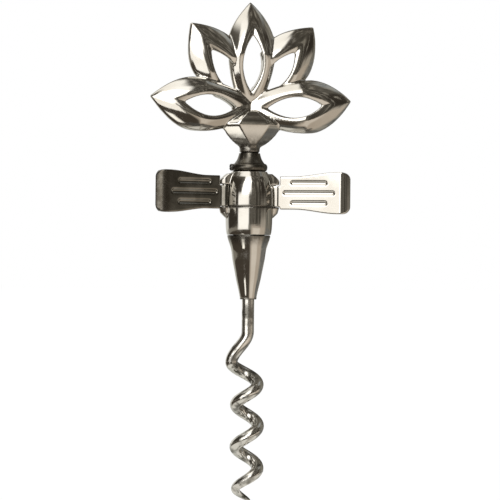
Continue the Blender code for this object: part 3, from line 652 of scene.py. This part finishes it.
def calyx_loft():
    """Round at the neck, and further up three flat facets in front and three at the back."""

    def place(column, row):
        height, wide, front, back, faceted, middle = CALYX_ROWS[row]
        width = CALYX_HALF_WIDTH * wide
        front, back = CALYX_FRONT * front, CALYX_BACK * back
        edge = CALYX_EDGE_FORWARD * wide
        facet = width * middle
        flank = (width + facet) / 2
        right = [(0, -front), (facet, -front), (flank, -(front + edge) / 2), (width, -edge),
                 (flank, (back - edge) / 2), (facet, back), (0, back)]
        corners = right + [(-x, y) for x, y in right[-2:0:-1]]
        spot = column * len(corners) / CALYX_COLUMNS
        first, second = corners[int(spot)], corners[(int(spot) + 1) % len(corners)]
        turn = math.tau * column / CALYX_COLUMNS - math.pi / 2
        flat = Vector(first).lerp(Vector(second), spot % 1)
        rounded = NECK_RADIUS * Vector((math.cos(turn), math.sin(turn)))
        return (*rounded.lerp(flat, faceted), height)

    return sleeve(CALYX_COLUMNS, len(CALYX_ROWS) - 1, place)


def make_flower():
    flower = object_from(calyx_loft(), "cast_flower")
    boolean(flower, "UNION", bar(TANG_RADIUS, FERRULE_FOOT_Z, CALYX_FOOT_Z))
    for petal in UPPER_PETALS + FRONT_PETALS:
        boolean(flower, "UNION", petal_leaf(petal), "MANIFOLD")
    for petal in FRONT_PETALS:
        boolean(flower, "DIFFERENCE", opening_block(petal), "MANIFOLD")
    bore = bar(WIRE_BORE, FERRULE_FOOT_Z - 1, SHANK_TOP_Z + SHANK_ROOM)
    boolean(flower, "DIFFERENCE", bore)
    melt(flower, voxel=0.22, rounds=7)
    # Painted shade: darker downwards from the calyx's top to the neck, below the petals
    material = nickel("flower_nickel", waviness=0.02, shaded_span=(2, 98.8, 103.4), dullness=0.08)
    finish(flower, material, "flower_handle")


# Ferrule and its screw

# The photograph shows a slimmer rim than the solid's
RIM_RADIUS = 5.0
RIM_HALF_HEIGHT = 1.05
RIM_STEPS = 16
FLARE_RADIUS = 4.2
FLARE_FOOT_Z = 93.95
TANG_BORE = 2.45
SCREW_Z = 92.9
# Each bore for the screw: its radius and where it starts, from the axis
SCREW_BORES = ((0.75, 0.0), (1.1, 4.6))
SCREW_BORE_REACH = 7.0
SCREW_REACH = 5.7
SCREW_SLOT = (0.24, 3, 0.5)
SCREW_SEGMENTS = 48


def screw_seat():
    """Turns what was made upright on the axis to the left, at the screw's height."""
    return Matrix.Translation((0, 0, SCREW_Z)) @ Matrix.Rotation(-math.pi / 2, 4, "Y")


def make_ferrule():
    flare = smooth_line([
        (2.9, FERRULE_TOP_Z), (3.15, 95.9), (3.55, 94.9), (FLARE_RADIUS, FLARE_FOOT_Z),
    ])
    rim = []
    for index in range(1, RIM_STEPS + 1):
        turn = math.pi * index / RIM_STEPS
        radius = blend(FLARE_RADIUS, RIM_RADIUS, math.sin(turn) ** 0.8)
        rim.append((radius, FERRULE_FOOT_Z + RIM_HALF_HEIGHT * (1 + math.cos(turn))))
    outline = flare + rim + [(TANG_BORE, FERRULE_FOOT_Z), (TANG_BORE, FERRULE_TOP_Z)]
    ferrule = object_from(spun(outline), "turned_ferrule")
    for radius, foot in SCREW_BORES:
        tool = bar(radius, foot, SCREW_BORE_REACH)
        bmesh.ops.transform(tool, matrix=screw_seat(), verts=tool.verts)
        boolean(ferrule, "DIFFERENCE", tool)
    # Painted shade: a dark film and patchy darkening over the whole ferrule, and bands at its joins
    material = nickel(
        "ferrule_nickel", lines=0.004, shaded_hollows=False, shaded_joins_z=(FLARE_FOOT_Z, 91.9),
        tarnish_and_shade=0.8, dullness=0.1, shaded_span=(2, 90, 88),
    )
    finish(ferrule, material, "neck_ferrule", sharp=True)


def make_screw():
    head = [(0, SCREW_REACH), (0.42, 5.68), (0.72, 5.58), (0.92, 5.4), (0.97, 5.2), (0.94, 4.9)]
    stem = [(0.6, 4.9), (0.6, 2.2), (0.4, 2.0), (0, 2.0)]
    screw = object_from(spun(head + stem, SCREW_SEGMENTS), "handle_screw_slotted")
    slot = bmesh.new()
    bmesh.ops.create_cube(slot, size=1)
    bmesh.ops.scale(slot, vec=SCREW_SLOT, verts=slot.verts)
    bmesh.ops.translate(slot, vec=(0, 0, SCREW_REACH), verts=slot.verts)
    boolean(screw, "DIFFERENCE", slot)
    material = blackened_steel("screw_steel")
    finish(screw, material, "handle_screw", seat=screw_seat(), sharp=True)


# Barrel halves with their lugs

SPIGOT_RADIUS = 4.2
REGISTER_SOCKET_RADIUS = 3.75
REGISTER_RADIUS = 3.6
REGISTER_LENGTH = 1.5
SCALLOP_EASE = 0.3
LUG_RADIUS = 1.75
LUG_RUN_IN = 1.3
UPPER_LUG_TOP_Z = 91.15
UPPER_LUG_SLOPE = math.radians(38)
UPPER_LUG_SHOULDER = (5.8, 91.45)
LOWER_LUG_HEIGHT = 3.8
LOWER_LUG_CUTS = 10
# Each row: share of the lug's height from its top, and the share of its size that is left there
LOWER_LUG_SHARES = ((0.0, 1.0), (0.45, 0.91), (0.72, 0.7), (1.0, 0.42))


def lug(foot, top, side):
    """A lug with a round outer end and an inner end that runs into the barrel."""
    bm = bar(LUG_RADIUS, foot, top, x=HINGE_X)
    inner = [vert for vert in bm.verts if vert.co.x < HINGE_X - MERGE_DISTANCE]
    bmesh.ops.translate(bm, vec=(-LUG_RUN_IN, 0, 0), verts=inner)
    return to_side(bm, side)


def upper_lug(side):
    """A lug with a roof that slopes down from the barrel's shoulder."""
    bm = lug(UPPER_LUG_FOOT_Z, UPPER_LUG_TOP_Z, side)
    x, z = UPPER_LUG_SHOULDER
    cut = bmesh.ops.bisect_plane(
        bm, geom=bm.verts[:] + bm.edges[:] + bm.faces[:], clear_outer=True,
        plane_co=(side * x, 0, z),
        plane_no=(side * math.sin(UPPER_LUG_SLOPE), 0, math.cos(UPPER_LUG_SLOPE)),
    )
    bmesh.ops.edgeloop_fill(bm, edges=only(cut["geom_cut"], bmesh.types.BMEdge))
    bmesh.ops.recalc_face_normals(bm, faces=bm.faces)
    return bm


def lower_lug(side):
    """A hook that draws in towards the barrel at its foot."""
    bm = lug(SEAM_LOW_Z - LOWER_LUG_HEIGHT, SEAM_LOW_Z, side)
    upright = [edge for edge in bm.edges if abs(edge.verts[0].co.z - edge.verts[1].co.z) > 1]
    bmesh.ops.subdivide_edges(bm, edges=upright, cuts=LOWER_LUG_CUTS, use_grid_fill=True)
    inner_x = HINGE_X - LUG_RUN_IN - LUG_RADIUS
    for vert in bm.verts:
        share = along_table(LOWER_LUG_SHARES, (SEAM_LOW_Z - vert.co.z) / LOWER_LUG_HEIGHT)
        vert.co.x = side * blend(inner_x, abs(vert.co.x), share)
        vert.co.y *= share
    return bm


def make_barrel():
    outside = smooth_line([
        (6.42, SEAM_LOW_Z), (BARREL_RADIUS, 81.8), (6.488, 78.44), (6.4, 76.24), (6.28, 75.14),
        (6.1, BARREL_FOOT_Z),
    ], 4)
    inside = [
        (SPIGOT_RADIUS, BARREL_FOOT_Z), (SPIGOT_RADIUS, SPIGOT_FOOT_Z),
        (WIRE_BORE, SPIGOT_FOOT_Z), (WIRE_BORE, SEAM_LOW_Z - REGISTER_LENGTH),
        (REGISTER_SOCKET_RADIUS, SEAM_LOW_Z - REGISTER_LENGTH),
        (REGISTER_SOCKET_RADIUS, SEAM_LOW_Z),
    ]
    lower = object_from(spun(outside + inside), "cast_barrel_lower")
    top = smooth_line([
        (4.9, BARREL_TOP_Z), (5.332, 90.885), (5.764, 89.935), (6.164, 88.32), (6.436, 85.85),
        (BARREL_RADIUS, 82.2), (6.42, SEAM_HIGH_Z),
    ], 5)
    core = [
        (REGISTER_RADIUS, SEAM_HIGH_Z), (REGISTER_RADIUS, SEAM_HIGH_Z - REGISTER_LENGTH),
        (WIRE_BORE, SEAM_HIGH_Z - REGISTER_LENGTH), (WIRE_BORE, BARREL_TOP_Z),
    ]
    upper = object_from(spun(top + core), "cast_barrel_upper")
    for side in (-1, 1):
        boolean(lower, "UNION", lower_lug(side))
        boolean(upper, "UNION", upper_lug(side))
        room = KNUCKLE_RADIUS + SCALLOP_EASE
        scallop = bar(room, SEAM_HIGH_Z - 1, UPPER_LUG_FOOT_Z, x=side * HINGE_X)
        boolean(upper, "DIFFERENCE", scallop)
    for barrel, seam, node in ((lower, SEAM_LOW_Z, "barrel_lower"),
                               (upper, SEAM_HIGH_Z, "barrel_upper")):
        melt(barrel, voxel=0.14, rounds=4)
        # Painted shade in a band at each half's seam
        material = nickel(f"{node}_nickel", waviness=0.008, lines=0.002, shaded_joins_z=(seam,))
        finish(barrel, material, node)


# Wings

WING_THICKNESS = 1.5
WING_STRAIGHT = 18.6
WING_CURL_RADIUS = 2.6
WING_CURL_DEG = 65
WING_RISE = 3.9
WING_ROOT_HALF_HEIGHT = 4.6
WING_END_HALF_HEIGHT = 5.8
WING_CORNER_RADIUS = 2.4
WING_FLARE_START = 6
WING_FLARE_LENGTH = 12
WING_SIDE_STEPS = 24
WING_CORNER_STEPS = 12
WING_CURL_STEPS = 20
WING_ROOT_RELIEF = 2.1
WING_STRIP_HALF_HEIGHT = 7
WING_BLOCK_HALF_DEPTH = 6
WING_TOOL_REACH = 8
# Each wing: name, side, and how far forward it hangs, in degrees
WINGS = (("left", -1, 17.5), ("right", 1, 26))
# Each groove: its height, start and end
GROOVES = ((-2.8, 4.9, 15.5), (0.0, 2.8, 17.6), (2.8, 4.9, 15.5))
GROOVE_RADIUS = 0.75
GROOVE_DEPTH = 0.4
# The right wing's knuckle is flat in front, where the photograph shows no line beside the plate
KNUCKLE_FLAT = 0.95


def wing_half_height(along):
    share = smooth_step((along - WING_FLARE_START) / WING_FLARE_LENGTH)
    return blend(WING_ROOT_HALF_HEIGHT, WING_END_HALF_HEIGHT, share)


def wing_block():
    """The wing's outline seen from the front, as a deep block with rounded outer corners."""
    reach = WING_STRAIGHT + WING_CURL_RADIUS * math.sin(math.radians(WING_CURL_DEG))
    corner_x = reach + WING_THICKNESS / 2 - WING_CORNER_RADIUS
    corner_z = wing_half_height(corner_x) - WING_CORNER_RADIUS
    places = [corner_x * index / WING_SIDE_STEPS for index in range(WING_SIDE_STEPS)]
    upper = [(along, wing_half_height(along)) for along in places]
    for index in range(WING_CORNER_STEPS + 1):
        turn = math.pi / 2 * (1 - index / WING_CORNER_STEPS)
        upper.append((corner_x + WING_CORNER_RADIUS * math.cos(turn),
                      corner_z + WING_CORNER_RADIUS * math.sin(turn)))
    outline = upper + [(x, -z) for x, z in reversed(upper)]
    front = [(x, -WING_BLOCK_HALF_DEPTH, z) for x, z in outline]
    return deepened(front, 2 * WING_BLOCK_HALF_DEPTH)


def wing_plate():
    """A strip that runs straight out and then curls back."""
    bm = bmesh.new()
    heights = (-WING_STRIP_HALF_HEIGHT, WING_STRIP_HALF_HEIGHT)
    edge = bm.edges.new([bm.verts.new((0, 0, height)) for height in heights])
    grown = bmesh.ops.extrude_edge_only(bm, edges=[edge])["geom"]
    end = only(grown, bmesh.types.BMVert)
    bmesh.ops.translate(bm, vec=(WING_STRAIGHT, 0, 0), verts=end)
    last = [item for item in only(grown, bmesh.types.BMEdge) if set(item.verts) == set(end)]
    bmesh.ops.spin(
        bm, geom=last + end, cent=(WING_STRAIGHT, WING_CURL_RADIUS, 0), axis=(0, 0, 1),
        angle=math.radians(WING_CURL_DEG), steps=WING_CURL_STEPS,
    )
    bmesh.ops.remove_doubles(bm, verts=bm.verts, dist=MERGE_DISTANCE)
    bmesh.ops.recalc_face_normals(bm, faces=bm.faces)
    return bm


def groove_bar(start, end, height, face):
    """A bar with ball ends that presses one groove into a face, +1 back and -1 front."""
    bm = bmesh.new()
    bmesh.ops.create_uvsphere(bm, u_segments=32, v_segments=16, radius=GROOVE_RADIUS)
    bmesh.ops.rotate(bm, matrix=Matrix.Rotation(math.pi / 2, 3, "Y"), verts=bm.verts)
    outer = [vert for vert in bm.verts if vert.co.x > -MERGE_DISTANCE]
    bmesh.ops.translate(bm, vec=(end - start - 2 * GROOVE_RADIUS, 0, 0), verts=outer)
    deep = WING_THICKNESS / 2 + GROOVE_RADIUS - GROOVE_DEPTH
    bmesh.ops.translate(bm, vec=(start + GROOVE_RADIUS, face * deep, height), verts=bm.verts)
    return bm


def knuckle_flat():
    """A block that takes the knuckle's front down almost to the plate's face."""
    x, y, z = 2, -KNUCKLE_FLAT, WING_TOOL_REACH
    return deepened([(-x, y, z), (x, y, z), (x, y, -z), (-x, y, -z)], -2 * x)


def make_wings():
    foot = -WING_RISE
    top = KNUCKLE_TOP_Z - SEAM_HIGH_Z - WING_RISE
    for label, side, forward_deg in WINGS:
        wing = object_from(to_side(wing_plate(), side), f"cast_{label}_wing")
        solid = wing.modifiers.new("Thickness", "SOLIDIFY")
        solid.thickness = WING_THICKNESS
        solid.offset = 0
        solid.use_even_offset = True
        boolean(wing, "INTERSECT", to_side(wing_block(), side))
        boolean(wing, "DIFFERENCE", bar(WING_ROOT_RELIEF, top, WING_TOOL_REACH))
        boolean(wing, "DIFFERENCE", bar(WING_ROOT_RELIEF, -WING_TOOL_REACH, foot))
        boolean(wing, "UNION", bar(KNUCKLE_RADIUS, foot, top))
        if side > 0:
            boolean(wing, "DIFFERENCE", knuckle_flat())
        for height, start, end in GROOVES:
            for face in (-1, 1):
                boolean(wing, "DIFFERENCE", to_side(groove_bar(start, end, height, face), side))
        melt(wing, voxel=0.13, rounds=11)
        seat = Matrix.Translation((side * HINGE_X, 0, SEAM_HIGH_Z + WING_RISE))
        seat = seat @ Matrix.Rotation(-side * math.radians(forward_deg), 4, "Z")
        # Painted shade: the left wing alone gets a dark film and more darkening towards its outer
        # end
        wear_and_shade = {} if side > 0 else {"tarnish_and_shade": 0.86, "shaded_span": (0, -25.2, -22.5)}
        material = nickel(f"{label}_wing_nickel", waviness=0.012, **wear_and_shade)
        finish(wing, material, f"{label}_wing", f"{label}_wing", seat)


# Nose cone

NUT_CHAMBER_RADIUS = 3.4
NUT_CHAMBER_FOOT_Z = 68.9
SPIGOT_SOCKET_RADIUS = 4.35
SPIGOT_SOCKET_FOOT_Z = 72.1
NOSE_POINTS = (
    (5.8, NOSE_TOP_Z), (6.0, 73.9), (5.741, 72.854), (5.26, 71.43), (4.853, 70.006),
    (4.446, 67.158), (3.891, 64.31), (3.373, 61.64), (2.744, 58.97), (2.374, 57.19),
    (2.3, NOSE_TIP_Z),
)


def make_nose():
    outside = [NOSE_POINTS[0], *smooth_line(NOSE_POINTS[1:], 6)]
    inside = [
        (WIRE_BORE, NOSE_TIP_Z), (WIRE_BORE, NUT_CHAMBER_FOOT_Z),
        (NUT_CHAMBER_RADIUS, NUT_CHAMBER_FOOT_Z), (NUT_CHAMBER_RADIUS, SPIGOT_SOCKET_FOOT_Z),
        (SPIGOT_SOCKET_RADIUS, SPIGOT_SOCKET_FOOT_Z), (SPIGOT_SOCKET_RADIUS, NOSE_TOP_Z),
    ]
    nose = object_from(spun(outside + inside, edge=0.08), "turned_nose_cone")
    # Painted shade: bands at the barrel's foot and at the tip, and darker towards the top, under
    # the barrel
    material = nickel(
        "nose_nickel", lines=0.0025, shaded_hollows=False, shaded_joins_z=(BARREL_FOOT_Z, 56.2),
        shaded_span=(2, 73.8, 70.6),
    )
    finish(nose, material, "nose_cone", sharp=True)


# Pins, nut and washer

STEEL_NODES = ("left_hinge_pin", "right_hinge_pin", "shank_nut", "shank_washer")


def coat_steel_nodes():
    """The pins, the nut and the washer keep the solids' own shapes and get drawn steel."""
    for name in STEEL_NODES:
        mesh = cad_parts[name].data
        mesh.materials.clear()
        mesh.materials.append(drawn_steel(f"{name}_steel"))


# Worm and shank, one wire

HELIX_RADIUS = 3.05
HELIX_START = math.radians(54)
LEAD_TURN = math.radians(30)
HELIX_PITCH = 11.7
HELIX_HEIGHT = 38.7
LEAD_HEIGHT = 8.6
COIL_THROW = 1.4
COIL_THROW_REACH = 8.0
TIP_SHARE = 0.1
TIP_HEIGHT = 9
COIL_STEPS = 300
SHANK_STEPS = 12
WIRE_RESOLUTION = 8


def helix_turn(height):
    """Where the coil is round the axis at a height."""
    return HELIX_START + math.tau * height / HELIX_PITCH


def wire_centre(height):
    """Centre line of the coil, of the lead that swings in to the axis, and of the shank."""
    above = smooth_step((height - HELIX_HEIGHT) / LEAD_HEIGHT)
    turn = helix_turn(min(height, HELIX_HEIGHT)) + LEAD_TURN * above
    radius = HELIX_RADIUS * (1 - above)
    lowest = HELIX_HEIGHT - COIL_THROW_REACH
    share = min(max((height - lowest) / (COIL_THROW_REACH + LEAD_HEIGHT), 0), 1)
    throw = COIL_THROW * math.sin(math.pi * share) ** 2
    side = helix_turn(HELIX_HEIGHT)
    x = radius * math.cos(turn) + throw * math.cos(side)
    y = radius * math.sin(turn) + throw * math.sin(side)
    return x, y, height


def make_worm():
    """The wire as a bevelled curve, sharpened at its tip."""
    top = HELIX_HEIGHT + LEAD_HEIGHT
    heights = [top * index / COIL_STEPS for index in range(COIL_STEPS + 1)]
    heights += [
        blend(top, SHANK_TOP_Z, index / SHANK_STEPS) for index in range(1, SHANK_STEPS + 1)
    ]
    curve = bpy.data.curves.new("drawn_worm", "CURVE")
    curve.dimensions = "3D"
    curve.bevel_depth = WIRE_RADIUS
    curve.bevel_resolution = WIRE_RESOLUTION
    curve.use_fill_caps = True
    spline = curve.splines.new("POLY")
    spline.points.add(len(heights) - 1)
    spline.use_smooth = True
    for point, height in zip(spline.points, heights):
        point.co = (*wire_centre(height), 1)
        point.radius = blend(TIP_SHARE, 1, min(height / TIP_HEIGHT, 1) ** 0.5)
    worm = new_object("drawn_worm", curve)
    finish(worm, drawn_steel("worm_wire", rubbed=True), "worm")


# Studio


def staged(obj):
    """Makes a studio piece that only reflections see."""
    obj.visible_camera = False
    obj.visible_diffuse = False
    obj.visible_shadow = False


def direction(azimuth_deg, elevation_deg):
    """Unit vector from the object, at an azimuth from the camera's side: positive is right."""
    azimuth = math.radians(CAMERA_AZIMUTH_DEG + azimuth_deg)
    elevation = math.radians(elevation_deg)
    level = math.cos(elevation)
    return Vector((math.sin(azimuth) * level, -math.cos(azimuth) * level, math.sin(elevation)))


def printed(name, centre, patches, lights, base, polar):
    """Card that shines in soft-bordered tones laid out round the object. Polar turns the card's
    height and distance into the value that the second bounds of a patch speak of."""
    shader = Shader(bpy.data.materials.new(name))
    place = shader.place(turn_deg=(0, 0, CAMERA_AZIMUTH_DEG), centre=centre)
    east, north, up = shader.split(place)
    azimuth = east.math("ARCTAN2", -1 * north) * math.degrees(1)
    second = polar(up, (east * east + north * north) ** 0.5)

    def laid(tone, table):
        for azimuths, seconds, soft, colour in table:
            share = shader.window(azimuth, azimuths, soft) * shader.window(second, seconds, soft)
            tone = shader.mix_colour(share, tone, colour)
        return tone

    tone = laid(base, patches)
    streaks = shader.noise(shader.place((100, 100, 900)), 1.3, 3)
    side = shader.window(azimuth, STREAKED_AZIMUTHS, STREAKS_SOFT)
    light, dark = streaks.above(0.53, 0.64), 1 - streaks.above(0.3, 0.46)
    tone = shader.mix_colour(0.75 * side * light, tone, LIGHT_STREAK)
    tone = shader.mix_colour(0.6 * side * dark, tone, DARK_STREAK)
    return shader.surface(shader.glow(laid(tone, lights)))


def add_tent():
    """The inside of a studio tent round the object, open at the floor."""
    bm = bmesh.new()
    bmesh.ops.create_grid(bm, x_segments=72, y_segments=20, size=0.5)
    for vert in bm.verts:
        towards = direction(360 * vert.co.x, blend(*TENT_ELEVATIONS, vert.co.y + 0.5))
        vert.co = Vector(STUDIO_CENTRE) + towards * TENT_RADIUS
    obj = object_from(bm, "tent")
    centre = tuple(value / METRES for value in STUDIO_CENTRE)
    obj.data.materials.append(printed(
        "tent_cloth", centre, TENT_PATCHES, TENT_LIGHTS, TENT_BASE,
        lambda up, out: up.math("ARCTAN2", out) * math.degrees(1),
    ))
    staged(obj)


def add_floor_card():
    """A printed round card on the floor."""
    bm = bmesh.new()
    bmesh.ops.create_circle(
        bm, cap_ends=True, segments=FLOOR_CARD_SEGMENTS, radius=FLOOR_CARD_RADIUS
    )
    bmesh.ops.translate(bm, vec=(0, 0, -FLOOR_DROP / 2), verts=bm.verts)
    obj = object_from(bm, "floor_card")
    obj.data.materials.append(printed(
        "floor_paper", (0, 0, 0), FLOOR_PATCHES, FLOOR_LIGHTS, FLOOR_BASE, lambda up, out: out
    ))
    staged(obj)


def add_low_reflector():
    """A white card that stands near the object, below the softbox."""
    shader = Shader(bpy.data.materials.new("reflector_card"))
    bm = bmesh.new()
    bmesh.ops.create_grid(bm, x_segments=24, y_segments=1, size=0.5)
    for vert in bm.verts:
        towards = direction(blend(*REFLECTOR_AZIMUTHS, vert.co.x + 0.5), 0)
        height = blend(*REFLECTOR_HEIGHTS, vert.co.y + 0.5)
        vert.co = towards * REFLECTOR_REACH + Vector((0, 0, height))
    obj = object_from(bm, "low_reflector")
    obj.data.materials.append(shader.surface(shader.glow(REFLECTOR_TONE)))
    staged(obj)


def add_softbox():
    """An oval softbox that shines evenly. Its roll tips its top to the right."""
    data = bpy.data.lights.new("key_softbox", "AREA")
    data.shape = "ELLIPSE"
    data.size = SOFTBOX_WIDTH
    data.size_y = SOFTBOX_HEIGHT
    area = math.pi / 4 * SOFTBOX_WIDTH * SOFTBOX_HEIGHT
    data.energy = SOFTBOX_RADIANCE * math.pi * area
    obj = new_object("key_softbox", data)
    towards = direction(SOFTBOX_AZIMUTH, SOFTBOX_ELEVATION)
    roll = Quaternion((0, 0, 1), -math.radians(SOFTBOX_ROLL))
    obj.rotation_mode = "QUATERNION"
    obj.rotation_quaternion = towards.to_track_quat("Z", "Y") @ roll
    obj.location = Vector(STUDIO_CENTRE) + towards * SOFTBOX_DISTANCE
    obj.visible_camera = False


def bright_rays(shader):
    """1 for rays from the camera and for mirrored or refracted ones, and 0 for the rest."""
    path = shader.node("ShaderNodeLightPath").socket.node
    names = ("Is Camera Ray", "Is Glossy Ray", "Is Transmission Ray")
    camera, glossy, through = (Value(shader, path.outputs[name]) for name in names)
    return (camera + glossy + through).math("MINIMUM", 1.0)


def add_floor():
    """White paper, with most of its white shown as it is and the rest lit, for the shadow."""
    shader = Shader(bpy.data.materials.new("studio_floor"))
    lit = shader.node("ShaderNodeBsdfDiffuse", None, {"Color": WHITE})
    plain = shader.glow(WHITE, FLOOR_GLOW)
    factor = FLOOR_GLOW_SHARE * bright_rays(shader)
    both = shader.node("ShaderNodeMixShader", None, {0: factor, 1: lit, 2: plain})
    bm = bmesh.new()
    bmesh.ops.create_grid(bm, x_segments=1, y_segments=1, size=FLOOR_HALF_SIZE)
    bmesh.ops.translate(bm, vec=(0, 0, -FLOOR_DROP), verts=bm.verts)
    obj = object_from(bm, "floor")
    obj.data.materials.append(shader.surface(both))


def add_world():
    """Full white where it is seen or mirrored, and a little less as light on the object."""
    world = bpy.data.worlds.new("studio")
    bpy.context.scene.world = world
    shader = Shader(world)
    strength = WORLD_LIGHT + (1 - WORLD_LIGHT) * bright_rays(shader)
    back = shader.node("ShaderNodeBackground", None, {"Color": WHITE, "Strength": strength})
    shader.node("ShaderNodeOutputWorld", None, {"Surface": back})


def add_camera():
    """Level with the object's middle, and rolled as the photograph was."""
    data = bpy.data.cameras.new("camera")
    data.lens = LENS
    data.sensor_width = SENSOR_WIDTH
    camera = new_object("camera", data)
    back = direction(0, 0)
    width = IMAGE_SIZE / PIXELS_PER_METRE
    turn = (-back).to_track_quat("-Z", "Y")
    turn = Matrix.Rotation(math.radians(CAMERA_ROLL_DEG), 3, back) @ turn.to_matrix()
    middle = IMAGE_SIZE / 2
    centre = Vector((0, 0, (TIP_PIXEL - middle) / PIXELS_PER_METRE))
    centre += turn.col[0] * (middle - AXIS_PIXEL) / PIXELS_PER_METRE
    camera.rotation_mode = "QUATERNION"
    camera.rotation_quaternion = turn.to_quaternion()
    camera.location = centre + back * width * LENS / SENSOR_WIDTH
    bpy.context.scene.camera = camera


add_camera()
add_world()
add_floor()
add_tent()
add_floor_card()
add_low_reflector()
add_softbox()

make_worm()
make_nose()
make_barrel()
make_wings()
make_ferrule()
make_screw()
make_flower()
coat_steel_nodes()

bpy.context.scene.view_settings.view_transform = "Standard"
